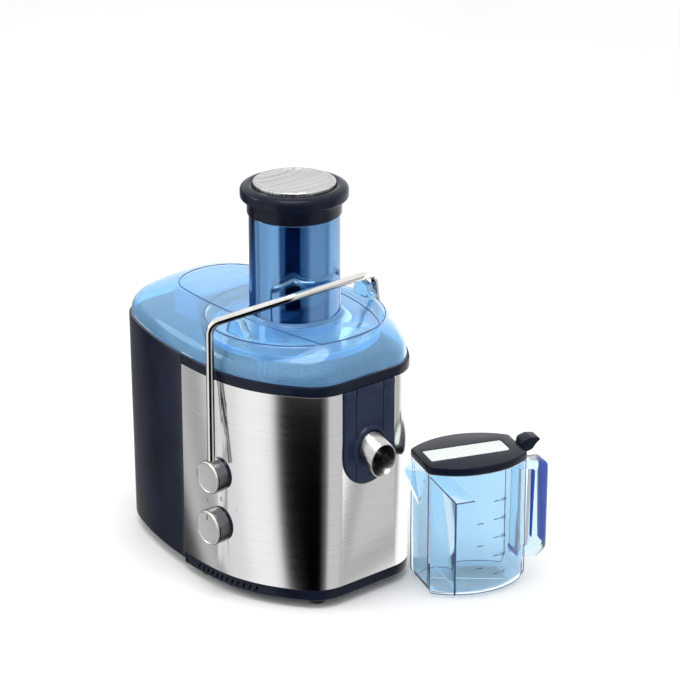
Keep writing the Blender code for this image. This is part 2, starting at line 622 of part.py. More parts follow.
def make_pusher():
    r, w = PUSHER_R, 2 * MM
    turned("pusher_tube", [(0, 188 * MM), (r - w, 188 * MM), (r - w, 352 * MM), (r, 352 * MM), (r, 186 * MM),
                           (0, 186 * MM)], DARK_BLUE, closed=False, steps=48)
    ring = [(CHUTE_R + 1.6 * MM, CHUTE_TOP + GAP), (CHUTE_R + 1.6 * MM, 351 * MM),
            (CHUTE_R + 3.6 * MM, 352 * MM)]
    bulge = [(41.7 * MM + 7 * MM * math.cos(a), 360 * MM + 6.5 * MM * math.sin(a))
             for a in (math.radians(-75 + 25 * i) for i in range(8))]
    top = [(38.2 * MM, 367.4 * MM), (37.8 * MM, 362.3 * MM), (30 * MM, 362.3 * MM), (30 * MM, 352.3 * MM),
           (CHUTE_R - 2 * MM, 352.3 * MM), (CHUTE_R - 2 * MM, CHUTE_TOP + GAP)]
    turned("pusher_head", list(reversed([*ring, *bulge, *top])), BLACK, steps=48)
    turned("pusher_cap", [(0, 367.5 * MM), (20 * MM, 368 * MM), (32 * MM, 370 * MM), (35.5 * MM, HEAD_TOP),
                          (37.3 * MM, 369.8 * MM), (37.3 * MM, 362.6 * MM), (0, 362.6 * MM)],
           STEEL, steps=48, closed=False)


# ---- pulp bin ---------------------------------------------------------------------------------
def make_bin():
    tub = plate("pulp_bin", bin_plan(0.0), FOOT_H, LID_Z - GAP, BLACK)
    cut(tub, plate("bin_hollow", bin_plan(2.4 * MM), FOOT_H + 2.4 * MM, LID_Z + 10 * MM))


# ---- jug ----------------------------------------------------------------------------------------
def jug_place():
    return Matrix.Translation((*JUG_CORNER, 0.0)) @ Matrix.Rotation(JUG_YAW, 4, "Z")


def jug_plan(distance=0.0):
    """Two flat ends and two bowed sides; u runs to the handle, -v away from the juicer."""
    bow = JUG_BOW
    sweep = 2 * math.atan(2 * bow / JUG_LENGTH)
    radius = JUG_LENGTH / (2 * math.sin(sweep))
    steps = 10
    arc = [(JUG_LENGTH / 2 + radius * math.sin(a), radius * (math.cos(a) - math.cos(sweep)))
           for a in (-sweep + 2 * sweep * i / steps for i in range(steps + 1))]
    away = [(u, -JUG_END - h) for u, h in arc]
    near = [(u, h) for u, h in reversed(arc)]
    return inset([*away, *near], distance)


def in_jug(thing):
    thing.matrix_basis = jug_place() @ thing.matrix_basis
    return thing


def make_jug():
    body = in_jug(plate("jug_body", jug_plan(), 0.0, JUG_TOP, BLUE))
    hollow = in_jug(plate("jug_hollow", jug_plan(JUG_WALL), 2.4 * MM, JUG_TOP + 20 * MM))
    middle = -JUG_END / 2
    lip = beak("jug_lip", 17.5 * MM, 15 * MM, JUG_TOP, 84 * MM, middle)
    lip_hollow = beak("lip_hollow", 14 * MM, 12.5 * MM, JUG_TOP + 9 * MM, 88 * MM, middle)
    cut(body, lip, how="UNION")
    cut(body, hollow, lip_hollow)
    end, top = JUG_LENGTH, JUG_HANDLE_TOP
    outline = [(end - 4 * MM, 16 * MM), (end + 17 * MM, 16 * MM), (end + 27 * MM, 24 * MM),
               (end + 28 * MM, top - 5 * MM), (end + 24 * MM, top), (end - 4 * MM, top + 2 * MM)]
    handle = plate("jug_handle_form", outline, -8 * MM, 8 * MM)
    stand = Matrix(((1, 0, 0, 0), (0, 0, -1, middle), (0, 1, 0, 0), (0, 0, 0, 1)))
    handle.matrix_basis = jug_place() @ stand
    grip = in_jug(box("finger_hole", (end + 2 * MM, middle - 20 * MM, 23 * MM),
                      (end + 15 * MM, middle + 20 * MM, top - 9 * MM)))
    inside = in_jug(plate("jug_keep", jug_plan(JUG_WALL - 0.6 * MM), -MM, JUG_TOP + MM))
    cut(handle, grip, inside)
    cut(body, handle, how="UNION")
    wall = in_jug(box("froth_separator", (22 * MM, -JUG_END - 10.5 * MM, 12 * MM),
                      (23.6 * MM, 10.5 * MM, 94 * MM), BLUE))
    bevel(wall, 0.4 * MM, 1)
    lid = in_jug(plate("jug_lid", jug_plan(-0.6 * MM), JUG_TOP + GAP, JUG_LID_TOP, BLACK))
    cut(lid, in_jug(plate("lid_pocket", jug_plan(JUG_WALL), JUG_TOP - MM, JUG_LID_TOP - 2.4 * MM)))
    window = in_jug(box("window_cut", (7 * MM, middle - 11 * MM, JUG_LID_TOP - 1.2 * MM),
                        (83 * MM, middle + 11 * MM, JUG_LID_TOP + MM)))
    cut(lid, window)
    in_jug(box("jug_lid_insert", (7.3 * MM, middle - 10.7 * MM, JUG_LID_TOP - 0.9 * MM),
               (82.7 * MM, middle + 10.7 * MM, JUG_LID_TOP + 0.2 * MM), WHITE))
    horn = [(1, -7), (4, -8), (11, -6), (16, -2), (20, 4), (17, 5.5), (10, 7), (4, 5), (1, -0.5)]
    lever = plate("thumb_lever", [(JUG_LENGTH + u * MM, JUG_LID_TOP + z * MM) for u, z in horn],
                  -8 * MM, 8 * MM, BLACK)
    lever.matrix_basis = jug_place() @ stand


def beak(name, reach, half, top, keel, middle):
    """The three-sided pouring lip on the flat end of the jug."""
    inside = 6 * MM
    bm = bmesh.new()
    rim = [bm.verts.new((inside, middle - half, top)), bm.verts.new((0, middle - half, top)),
           bm.verts.new((-reach, middle, top)), bm.verts.new((0, middle + half, top)),
           bm.verts.new((inside, middle + half, top))]
    low = [bm.verts.new((inside, middle, keel)), bm.verts.new((0, middle, keel))]
    tip = bm.verts.new((-reach, middle, top - 6 * MM))
    bm.faces.new(rim)
    bm.faces.new((rim[1], tip, rim[2]))
    bm.faces.new((rim[2], tip, rim[3]))
    bm.faces.new((rim[1], low[1], tip))
    bm.faces.new((tip, low[1], rim[3]))
    bm.faces.new((rim[0], low[0], low[1], rim[1]))
    bm.faces.new((rim[3], low[1], low[0], rim[4]))
    bm.faces.new((rim[4], low[0], rim[0]))
    return in_jug(from_bmesh(name, bm, smooth=False))


make_base()
make_feet()
make_motor()
make_rotor()
make_controls()
make_bowl()
make_basket()
make_lid()
make_pusher()
make_bin()
make_jug()
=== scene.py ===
# %% [markdown]
# # A centrifugal juicer
#
# A juicer of this kind stands on a motor base wrapped in brushed steel. Fruit goes
# down the wide chute under a pusher, a toothed disc shreds it, a spinning sieve throws
# the juice out to the spout, and the pulp flies over into the bin at the back. A bent
# steel arm locks the clear blue lid down. This lesson builds the looks of each piece
# around a fixed frame of simple solids, so every piece goes where the frame says.

# %% Start from an empty scene and load the frame
import json
import math

import bpy
from mathutils import Matrix, Vector
from mathutils.geometry import interpolate_bezier

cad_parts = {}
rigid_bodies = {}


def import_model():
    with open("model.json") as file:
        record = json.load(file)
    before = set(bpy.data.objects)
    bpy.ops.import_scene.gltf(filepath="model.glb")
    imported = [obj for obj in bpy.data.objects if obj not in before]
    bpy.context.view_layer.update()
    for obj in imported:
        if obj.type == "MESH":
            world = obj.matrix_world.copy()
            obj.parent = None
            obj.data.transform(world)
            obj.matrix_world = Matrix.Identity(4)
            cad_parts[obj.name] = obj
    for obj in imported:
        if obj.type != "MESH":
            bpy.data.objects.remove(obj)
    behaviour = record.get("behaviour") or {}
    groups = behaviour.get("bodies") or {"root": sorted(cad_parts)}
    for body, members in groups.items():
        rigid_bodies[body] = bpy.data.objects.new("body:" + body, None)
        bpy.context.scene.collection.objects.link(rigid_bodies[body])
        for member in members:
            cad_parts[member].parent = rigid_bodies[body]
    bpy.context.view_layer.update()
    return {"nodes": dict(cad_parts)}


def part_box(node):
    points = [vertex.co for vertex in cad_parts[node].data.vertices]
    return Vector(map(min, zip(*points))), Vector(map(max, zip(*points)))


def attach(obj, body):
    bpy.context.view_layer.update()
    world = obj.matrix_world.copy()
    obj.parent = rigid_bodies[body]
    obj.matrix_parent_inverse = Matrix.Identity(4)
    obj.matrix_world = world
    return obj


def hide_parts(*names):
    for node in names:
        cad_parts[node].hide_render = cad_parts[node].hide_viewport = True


for old in list(bpy.data.objects):
    bpy.data.objects.remove(old, do_unlink=True)
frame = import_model()
MM = 0.001

# %% [markdown]
# ## Measuring from the drive axis
#
# Almost everything on a juicer is centred on its motor shaft, so lengths here are in
# millimetres from that axis, with the table as height zero. The frame knows where the
# shaft is, and one matrix turns such a place into a place in the scene.

# %% The drive axis, and the jug's own corner
low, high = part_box("motor_shaft")
AXIS = Matrix.Translation(((low[0] + high[0]) / 2, (low[1] + high[1]) / 2, 0.0))
low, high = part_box("arm_cap_front")
PIVOT_X = ((low[0] + high[0]) / 2 - AXIS.translation.x) / MM
PIVOT_Z = (low[2] + high[2]) / 2 / MM
KNOB_Z = sum(corner[2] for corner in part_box("speed_knob")) / 2 / MM
RIM_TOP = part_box("juice_bowl")[1][2] / MM
STEEL_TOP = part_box("steel_wrap")[1][2] / MM
STEEL_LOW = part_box("steel_wrap")[0][2] / MM
BIN_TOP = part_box("pulp_bin")[1][2] / MM
BAND_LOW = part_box("base_pan")[0][2] / MM
CHUTE_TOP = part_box("juicer_lid")[1][2] / MM
CAP_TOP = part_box("pusher_cap")[1][2] / MM
JUG_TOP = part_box("jug_body")[1][2] / MM
JUG_LID_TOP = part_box("jug_lid")[1][2] / MM
JUG = AXIS @ Matrix.Translation((101.5 * MM, 50 * MM, 0.0)) @ Matrix.Rotation(math.radians(68.8), 4, "Z")
print("drive axis at", tuple(round(v, 4) for v in AXIS.translation), "pivot", PIVOT_X, PIVOT_Z)

# %% [markdown]
# ## A few helpers
#
# Each helper is one habit of modelling by hand: select only this piece, enter edit
# mode, draw a line, spin it or push it up, cut one piece with another. Every piece ends
# with its place in its mesh, on the body that carries it.

# %% Selecting, editing and applying
def take(*things):
    """Only these things are selected, and the last one is active."""
    if bpy.context.object and bpy.context.object.mode != "OBJECT":
        bpy.ops.object.mode_set(mode="OBJECT")
    bpy.ops.object.select_all(action="DESELECT")
    for thing in things:
        thing.select_set(True)
        bpy.context.view_layer.objects.active = thing


def edit(thing):
    take(thing)
    bpy.ops.object.mode_set(mode="EDIT")
    bpy.ops.mesh.select_all(action="SELECT")


def applied(thing):
    take(thing)
    for step in list(thing.modifiers):
        bpy.ops.object.modifier_apply(modifier=step.name)
    return thing


def tidy(thing):
    """Welds the mesh and turns its faces outwards."""
    edit(thing)
    bpy.ops.mesh.remove_doubles(threshold=2e-6)
    bpy.ops.mesh.normals_make_consistent(inside=False)
    take(thing)
    return thing


def curve_of(points, closed=False):
    """A line through these places, in metres, as a curve."""
    take()
    bpy.ops.curve.primitive_bezier_curve_add(location=(0, 0, 0))
    thing = bpy.context.object
    thing.data.splines.clear()
    line = thing.data.splines.new("POLY")
    line.points.add(len(points) - 1)
    for point, place in zip(line.points, points):
        point.co = (*place, 1.0)
    line.use_cyclic_u = closed
    return thing


def drawn(name, points, closed=False):
    """Such a line as a mesh of edges."""
    curve_of(points, closed)
    bpy.ops.object.convert(target="MESH")
    thing = bpy.context.object
    thing.name = name
    return thing


def thickened(points, radius, fineness, closed=False):
    """Such a line as a round bar, its radius in millimetres."""
    data = curve_of(points, closed).data
    data.bevel_depth, data.bevel_resolution, data.use_fill_caps = radius * MM, fineness, True
    bpy.ops.object.convert(target="MESH")
    return tidy(bpy.context.object)


# %% Rounding the corners of an outline
def soften(points, closed=False, steps=5):
    """Corners given as (a, b, radius) become arcs; those given as (a, b) stay sharp."""
    path, count = [], len(points)
    for i, point in enumerate(points):
        if len(point) == 2 or (not closed and i in (0, count - 1)):
            path.append(tuple(point[:2]))
            continue
        here = Vector(point[:2])
        back = Vector(points[i - 1][:2]) - here
        ahead = Vector(points[(i + 1) % count][:2]) - here
        half = back.angle(ahead) / 2
        reach = min(point[2] / math.tan(half), back.length * 0.49, ahead.length * 0.49)
        centre = here + (back.normalized() + ahead.normalized()).normalized() * reach / math.cos(half)
        first = here + back.normalized() * reach - centre
        sweep = first.angle_signed(here + ahead.normalized() * reach - centre)
        for k in range(steps + 1):
            turn = -sweep * k / steps
            path.append((centre.x + first.x * math.cos(turn) - first.y * math.sin(turn),
                         centre.y + first.x * math.sin(turn) + first.y * math.cos(turn)))
    return path


# %% Spinning a profile, pushing up an outline, stacking rings
def turned(name, profile, steps=96, closed=False):
    """A profile of (radius, height) spun about the drive axis."""
    line = [(r * MM, 0.0, z * MM) for r, z in soften(profile, closed)]
    thing = drawn(name, line, closed)
    edit(thing)
    bpy.ops.mesh.spin(steps=steps, angle=2 * math.pi, center=(0, 0, 0), axis=(0, 0, 1))
    return tidy(thing)


def pushed(name, outline, low, high):
    """A flat outline filled and pushed up from one height to another."""
    thing = drawn(name, [(x * MM, y * MM, low * MM) for x, y in outline], closed=True)
    edit(thing)
    bpy.ops.mesh.edge_face_add()
    bpy.ops.mesh.extrude_region_move(TRANSFORM_OT_translate={"value": (0, 0, (high - low) * MM)})
    return tidy(thing)


def stacked(name, rings):
    """Rings of (outline, height) with as many points each, drawn up one after another."""
    outline, level = rings[0]
    thing = drawn(name, [(x * MM, y * MM, level * MM) for x, y in outline], closed=True)
    edit(thing)
    bpy.ops.mesh.edge_face_add()
    for outline_now, level_now in rings[1:]:
        bpy.ops.mesh.extrude_region_move()
        bpy.ops.object.mode_set(mode="OBJECT")
        lifted = [v for v in thing.data.vertices if v.select]
        for v in lifted:
            nearest = min(range(len(outline)), key=lambda k: (v.co.x - outline[k][0] * MM) ** 2
                          + (v.co.y - outline[k][1] * MM) ** 2)
            v.co = (outline_now[nearest][0] * MM, outline_now[nearest][1] * MM, level_now * MM)
        outline = outline_now
        bpy.ops.object.mode_set(mode="EDIT")
    return tidy(thing)


def block(name, low, high):
    """A box between two corners, as a cutter or a start."""
    take()
    bpy.ops.mesh.primitive_cube_add(size=1.0)
    thing = bpy.context.object
    thing.name = name
    thing.location = [(a + b) / 2 * MM for a, b in zip(low, high)]
    thing.scale = [(b - a) * MM for a, b in zip(low, high)]
    bpy.ops.object.transform_apply(location=True, rotation=True, scale=True)
    return thing


def bar(name, start, end, radius, sides=32):
    """A round bar between two places, as a cutter or a start."""
    start, end = Vector(start) * MM, Vector(end) * MM
    take()
    bpy.ops.mesh.primitive_cylinder_add(vertices=sides, radius=radius * MM, depth=(end - start).length)
    thing = bpy.context.object
    thing.name = name
    turn = (end - start).to_track_quat("Z", "Y").to_matrix().to_4x4()
    thing.matrix_world = Matrix.Translation((start + end) / 2) @ turn
    bpy.ops.object.transform_apply(location=True, rotation=True, scale=True)
    return thing


# %% Cutting, joining and softening edges
def joined(thing, *others, how="DIFFERENCE"):
    for other in others:
        step = thing.modifiers.new("with_" + other.name, "BOOLEAN")
        step.operation, step.solver, step.object = how, "EXACT", other
    applied(thing)
    for other in others:
        bpy.data.objects.remove(other, do_unlink=True)
    return thing


def softened(thing, width, segments=3, angle=30):
    step = thing.modifiers.new("edge", "BEVEL")
    step.width, step.segments, step.limit_method = width * MM, segments, "ANGLE"
    step.angle_limit = math.radians(angle)
    step.use_clamp_overlap = True
    return applied(thing)


def moved(thing, place):
    thing.matrix_world = place @ thing.matrix_world
    take(thing)
    bpy.ops.object.transform_apply(location=True, rotation=True, scale=True)
    return thing


FACING_FRONT = Matrix.Rotation(math.radians(90), 4, "X")          # +Z turned to -Y
FACING_REAR = Matrix.Rotation(math.radians(-90), 4, "X")          # +Z turned to +Y
ALONG_X = Matrix(((0, 0, 1, 0), (1, 0, 0, 0), (0, 1, 0, 0), (0, 0, 0, 1)))


def done(thing, name, body, finish, *stands_for, place=AXIS, slot=None, smooth=32):
    """Names the piece, sets it in place, gives it its finish and the body it rides on."""
    moved(thing, place)
    thing.name = thing.data.name = name
    thing.data.materials.clear()
    thing.data.materials.append(finish)
    take(thing)
    bpy.ops.object.shade_smooth_by_angle(angle=math.radians(smooth))
    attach(thing, body)
    if stands_for:
        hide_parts(*stands_for)
    return thing


# %% [markdown]
# ## Finishes
#
# Every finish is a Principled shader whose colour, roughness and bump come from noise
# laid along the way the real surface was worked: long thin streaks for brushed steel,
# faint cloudiness in moulded plastic, nothing but gloss and a little tint in clear
# polycarbonate.

# %% A shader with noise behind it
def finish(name, colour, roughness, metallic=0.0, **sockets):
    made = bpy.data.materials.new(name)
    made.use_nodes = True
    shader = made.node_tree.nodes["Principled BSDF"]
    shader.inputs["Base Color"].default_value = (*colour, 1.0)
    shader.inputs["Roughness"].default_value = roughness
    shader.inputs["Metallic"].default_value = metallic
    for socket, value in sockets.items():
        shader.inputs[socket.replace("_", " ")].default_value = value
    made.diffuse_color = (*colour, 1.0)
    return made


def grain(made, scale, strength, rough=None, tint=None, detail=3.0, depth=0.0001):
    """Noise stretched by scale, felt as bump, as roughness from low to high, and as tint."""
    nodes, links = made.node_tree.nodes, made.node_tree.links
    shader = nodes["Principled BSDF"]
    where = nodes.new("ShaderNodeTexCoord")
    mapping = nodes.new("ShaderNodeMapping")
    mapping.inputs["Scale"].default_value = scale
    noise = nodes.new("ShaderNodeTexNoise")
    noise.inputs["Scale"].default_value = 1.0
    noise.inputs["Detail"].default_value = detail
    links.new(where.outputs["Object"], mapping.inputs["Vector"])
    links.new(mapping.outputs["Vector"], noise.inputs["Vector"])
    if strength:
        bump = nodes.new("ShaderNodeBump")
        bump.inputs["Strength"].default_value = strength
        bump.inputs["Distance"].default_value = depth
        links.new(noise.outputs["Fac"], bump.inputs["Height"])
        links.new(bump.outputs["Normal"], shader.inputs["Normal"])
    if rough:
        spread = nodes.new("ShaderNodeMapRange")
        spread.inputs["From Min"].default_value, spread.inputs["From Max"].default_value = 0.3, 0.7
        spread.inputs["To Min"].default_value, spread.inputs["To Max"].default_value = rough
        links.new(noise.outputs["Fac"], spread.inputs["Value"])
        links.new(spread.outputs["Result"], shader.inputs["Roughness"])
    if tint:
        ramp = nodes.new("ShaderNodeValToRGB")
        ramp.color_ramp.elements[0].position, ramp.color_ramp.elements[1].position = 0.32, 0.68
        for stop, colour in zip(ramp.color_ramp.elements, tint):
            stop.color = (*colour, 1.0)
        links.new(noise.outputs["Fac"], ramp.inputs["Fac"])
        links.new(ramp.outputs["Color"], shader.inputs["Base Color"])
    return made


# %% The finishes of this juicer
brushed_steel = grain(finish("brushed_steel", (0.86, 0.86, 0.86), 0.16, 1.0,
                             Anisotropic=0.3, Anisotropic_Rotation=0.25),
                      (3, 3, 2600), 0.03, (0.12, 0.18), ((0.81, 0.81, 0.81), (0.91, 0.91, 0.91)))
brushed_cap = grain(finish("brushed_cap_steel", (0.80, 0.79, 0.78), 0.32, 1.0),
                    (8, 8, 1500), 0.06, (0.26, 0.40), ((0.70, 0.69, 0.68), (0.90, 0.89, 0.88)))
disc_steel = grain(finish("disc_steel", (0.60, 0.60, 0.60), 0.25, 1.0),
                   (900, 14, 14), 0.05, (0.18, 0.34), ((0.44, 0.44, 0.45), (0.76, 0.76, 0.76)))
spout_steel = grain(finish("spout_steel", (0.62, 0.61, 0.60), 0.2, 1.0),
                    (14, 900, 900), 0.03, (0.16, 0.28), ((0.54, 0.53, 0.52), (0.70, 0.69, 0.68)))
polished_steel = grain(finish("polished_steel", (0.82, 0.81, 0.79), 0.12, 1.0),
                       (60, 60, 60), 0.0, (0.08, 0.16), ((0.78, 0.77, 0.75), (0.86, 0.85, 0.83)))
black_gloss = grain(finish("black_gloss_plastic", (0.006, 0.009, 0.020), 0.2, Specular_IOR_Level=0.16),
                    (40, 40, 40), 0.02, (0.14, 0.24), ((0.005, 0.007, 0.016), (0.008, 0.012, 0.026)))
navy_plastic = grain(finish("navy_plastic", (0.008, 0.017, 0.045), 0.3, Specular_IOR_Level=0.25),
                     (50, 50, 50), 0.02, (0.24, 0.34), ((0.010, 0.018, 0.045), (0.015, 0.026, 0.064)))
bin_plastic = grain(finish("bin_plastic", (0.005, 0.008, 0.020), 0.22, Specular_IOR_Level=0.4),
                    (30, 30, 30), 0.02, (0.18, 0.27), ((0.006, 0.009, 0.020), (0.009, 0.014, 0.032)))
soft_black = grain(finish("soft_black_rubber", (0.012, 0.013, 0.016), 0.7),
                   (900, 900, 900), 0.15, (0.6, 0.8), ((0.010, 0.011, 0.013), (0.018, 0.019, 0.022)))
lid_blue = grain(finish("lid_blue_clear", (0.34, 0.68, 1.0), 0.03, Transmission_Weight=0.80, IOR=1.42),
                 (12, 12, 12), 0.0, (0.02, 0.05), ((0.32, 0.665, 0.99), (0.37, 0.70, 1.0)))
chute_blue = grain(finish("chute_blue_clear", (0.30, 0.60, 0.95), 0.08, 0.48,
                          Transmission_Weight=1.0, IOR=1.3),
                   (12, 12, 12), 0.0, (0.06, 0.10), ((0.28, 0.58, 0.94), (0.33, 0.62, 0.96)))
jug_blue = grain(finish("jug_blue_clear", (0.66, 0.86, 1.0), 0.03, Transmission_Weight=0.96, IOR=1.35),
                 (12, 12, 12), 0.0, (0.02, 0.05), ((0.64, 0.85, 0.995), (0.69, 0.87, 1.0)))
inner_clear = grain(finish("inner_clear", (0.84, 0.94, 1.0), 0.04, Transmission_Weight=1.0, IOR=1.1),
                    (12, 12, 12), 0.0, (0.03, 0.06), ((0.82, 0.93, 0.995), (0.86, 0.95, 1.0)))
deep_blue = grain(finish("pusher_blue", (0.010, 0.022, 0.060), 0.16, Specular_IOR_Level=0.25),
                  (12, 12, 12), 0.0, (0.14, 0.20), ((0.008, 0.018, 0.052), (0.012, 0.026, 0.070)))
# Deep blue for thin bars laid along crisp clear edges: painted shade, standing in for the dark lines that light
# bending at those edges makes.
edge_blue = grain(finish("edge_blue", (0.015, 0.075, 0.25), 0.1), (20, 20, 20), 0.0, (0.08, 0.14),
                  ((0.012, 0.065, 0.23), (0.018, 0.085, 0.27)))
spine_blue = grain(finish("handle_blue", (0.03, 0.09, 0.55), 0.08, Transmission_Weight=0.5, IOR=1.4),
                   (20, 20, 20), 0.0, (0.06, 0.1), ((0.025, 0.08, 0.50), (0.035, 0.10, 0.60)))
pale_insert = grain(finish("pale_insert", (0.76, 0.83, 0.81), 0.28, 0.35),
                    (600, 6, 6), 0.03, (0.22, 0.34), ((0.72, 0.80, 0.78), (0.80, 0.86, 0.84)))
ink = grain(finish("printed_ink", (0.02, 0.03, 0.05), 0.6),
            (400, 400, 400), 0.0, (0.5, 0.7), ((0.018, 0.026, 0.045), (0.028, 0.038, 0.06)))
copper = grain(finish("enamelled_copper", (0.62, 0.26, 0.11), 0.3, 1.0),
               (20, 20, 1400), 0.3, (0.25, 0.4), ((0.52, 0.20, 0.08), (0.72, 0.33, 0.15)), depth=0.0003)
iron = grain(finish("laminated_iron", (0.24, 0.24, 0.25), 0.5, 0.9),
             (6, 6, 1800), 0.25, (0.42, 0.6), ((0.18, 0.18, 0.19), (0.30, 0.30, 0.31)), depth=0.0002)
brass = grain(finish("brass", (0.66, 0.48, 0.20), 0.32, 1.0),
              (80, 80, 80), 0.03, (0.26, 0.4), ((0.58, 0.41, 0.16), (0.72, 0.54, 0.24)))
carbon = grain(finish("carbon", (0.03, 0.03, 0.033), 0.6),
               (500, 500, 500), 0.1, (0.5, 0.75), ((0.022, 0.022, 0.025), (0.04, 0.04, 0.044)))
print("finishes:", len(bpy.data.materials))

# %% [markdown]
# ## Finishes on the frame's own solids
#
# The motor and the switches are inside, where the frame's own solids are close enough
# to the real thing. They keep their shapes and only get a worked finish. So do a few
# plain ones that can be seen: the bowl, the basket's base and the pulp guide through
# the lid, and the cord gland and the arm's pivots outside.

# %% Give the frame's solids their finishes
FRAME_FINISHES = {
    black_gloss: ("inner_housing", "motor_deck", "speed_switch", "safety_switch", "juice_bowl"),
    polished_steel: ("motor_shaft", "bearing_lower", "bearing_upper", "arm_pivot_front", "arm_pivot_rear"),
    navy_plastic: ("cooling_fan", "drive_coupling", "basket_base"),
    soft_black: ("cord_gland", "seal_ring"),
    copper: ("field_coil_a", "field_coil_b", "armature_winding", "commutator"),
    iron: ("field_core", "motor_bracket_lower", "motor_bracket_upper", "armature_core"),
    brass: ("brush_holder_a", "brush_holder_b", "knob_spindle"),
    carbon: ("carbon_brush_a", "carbon_brush_b"),
    lid_blue: ("pulp_guide",),
}
for made, names in FRAME_FINISHES.items():
    for name in names:
        node = frame["nodes"][name]
        node.data.materials.clear()
        node.data.materials.append(made)

# %% [markdown]
# ## The outline of the body
#
# Seen from above the body is a long rounded shape: a flat face at the spout, flanks that
# swell to the arm's pivots, and a taper to the end of the bin. Four curved stretches
# draw one side, and the other is its mirror image. Everything with this outline, from
# the base band to the lid's skirt, is the same line moved inwards.

# %% Draw the plan
SEAM_X, BACK_R, FACE_X = -50.0, 92.0, 100.0


def stretch(*knots, steps):
    return [(p.x, p.y) for p in interpolate_bezier(*(Vector((x, y, 0)) for x, y in knots), steps + 1)]


def body_plan():
    side = [
        *stretch((100, 32), (100, 45), (93, 55.5), (86, 61), steps=10),
        *stretch((86, 61), (62, 80), (35, 93.5), (0, 94.5), steps=20)[1:],
        *stretch((0, 94.5), (-60, 96.5), (-125, 81), (-158, 66), steps=26)[1:],
        *stretch((-158, 66), (-172, 59.5), (-182, 46), (-182, 26), steps=12)[1:],
    ]
    return [*side, *((x, -y) for x, y in reversed(side))]


def inset(loop, distance):
    """The loop, drawn anticlockwise, moved inwards."""
    path = []
    for before, here, after in zip([loop[-1], *loop[:-1]], loop, [*loop[1:], loop[0]]):
        a = (Vector(here) - Vector(before)).normalized()
        b = (Vector(after) - Vector(here)).normalized()
        normal = Vector((-a.y - b.y, a.x + b.x)).normalized()
        share = max(normal.dot(Vector((-a.y, a.x))), 0.3)
        path.append((here[0] + normal.x * distance / share, here[1] + normal.y * distance / share))
    return path


def one_side(loop, x_seam, front):
    """The stretch of the loop in front of or behind the seam, ending on it."""
    found = []
    for i, (a, b) in enumerate(zip(loop, [*loop[1:], loop[0]])):
        if (a[0] - x_seam) * (b[0] - x_seam) < 0:
            share = (x_seam - a[0]) / (b[0] - a[0])
            found.append((i, (x_seam, a[1] + share * (b[1] - a[1]))))
    (first, near), (second, far) = found
    if front:
        return [far, *loop[second + 1:], *loop[:first + 1], near]
    return [near, *loop[first + 1:second + 1], far]


def back_arc(radius, x_seam, steps=40):
    start = math.acos(x_seam / radius)
    turns = [start + (2 * math.pi - 2 * start) * i / steps for i in range(steps + 1)]
    return [(radius * math.cos(a), radius * math.sin(a)) for a in turns]


def base_plan(distance):
    return [*one_side(inset(body_plan(), distance), SEAM_X + distance, True),
            *back_arc(BACK_R - distance, SEAM_X + distance)]


def bin_plan(distance):
    edge = SEAM_X - 0.3 - distance
    return [*one_side(inset(body_plan(), distance), edge, False),
            *reversed(back_arc(BACK_R + 1.5 + distance, edge))]


print("the plan has", len(body_plan()), "points")

# %% [markdown]
# ## Base band, feet and steel wrap
#
# The motor base ends below in a glossy black pan with slanted vents in its flanks. The
# steel is one sheet bent round the sides and the spout face, with a slot open at the top
# where the spout's panel drops in. A wall of its own outline and an inner outline, cut
# with an arched block, gives that sheet its true edge.

# %% Base band with slanted vents
band = softened(pushed("base_band", base_plan(0.2), BAND_LOW, STEEL_LOW - 0.2), 1.2)
joined(band, pushed("pan_hollow", base_plan(4), BAND_LOW + 3, STEEL_LOW + 5))
slots = []
for side in (-1, 1):
    for i in range(13):
        slot = block("vent", (-0.9, -9, -2.7), (0.9, 9, 2.7))
        spot = Matrix.Translation(((-26 + 6.4 * i) * MM, side * 92 * MM, (BAND_LOW + 5) * MM))
        slots.append(moved(slot, spot @ Matrix.Rotation(math.radians(24), 4, "Y")))
joined(band, *slots)
done(band, "base_band", "base", black_gloss, "base_pan", slot="black")

for name, (x, y) in {"front_left": (-30, -78), "front_right": (80, -44),
                     "rear_left": (-30, 78), "rear_right": (80, 44)}.items():
    foot = turned("foot", [(0, 7.7), (7.2, 7.7, 0.5), (8, 1.2, 1), (6.4, 0.05, 0.6), (5, 0.05),
                           (4.4, 0.9, 0.4), (0, 0.9)], 40)
    done(moved(foot, Matrix.Translation((x * MM, y * MM, 0))), "rubber_foot_" + name, "base", soft_black,
         "foot_" + name, slot="rubber")

# %% Steel wrap
SPOUT_HALF, SPOUT_LOW, STEEL_WALL = 30.5, 111.0, 1.0


def arch(half, low, high=240.0, steps=28):
    """An upright slot outline, round below and open above."""
    arc = [(half * math.cos(a), low + half + half * math.sin(a))
           for a in (math.pi + math.pi * i / steps for i in range(steps + 1))]
    return [(half, high), (-half, high), *arc]


outside = one_side(body_plan(), SEAM_X, True)
inside = one_side(inset(body_plan(), STEEL_WALL), SEAM_X, True)
wrap = pushed("wrap", [*outside, *reversed(inside)], STEEL_LOW, STEEL_TOP)
notch = moved(pushed("notch", arch(SPOUT_HALF, SPOUT_LOW), 80, 115), ALONG_X)
holes = [bar("pivot_hole", (PIVOT_X, -110, z), (PIVOT_X, far, z), 5)
         for z, far in ((PIVOT_Z, 110), (KNOB_Z, -60))]
softened(joined(wrap, notch, *holes), 0.25, 2)
done(wrap, "steel_side_wrap", "base", brushed_steel, "steel_wrap", slot="steel")

# %% Black rim above the steel
rim = pushed("rim", base_plan(-0.25), STEEL_TOP + 0.15, RIM_TOP + 0.1)
joined(rim, pushed("rim_hole", base_plan(2.2), STEEL_TOP - 5, RIM_TOP + 5))
done(softened(rim, 0.9, 3), "bowl_rim_band", "base", black_gloss, slot="black")

# %% [markdown]
# ## Spout and its panel
#
# The juice leaves by a slanted steel tube through a dark arched panel made of three
# strips with fine grooves between them. The tube is an open cylinder, sliced upright at
# its mouth, then given a wall and a soft bright lip.

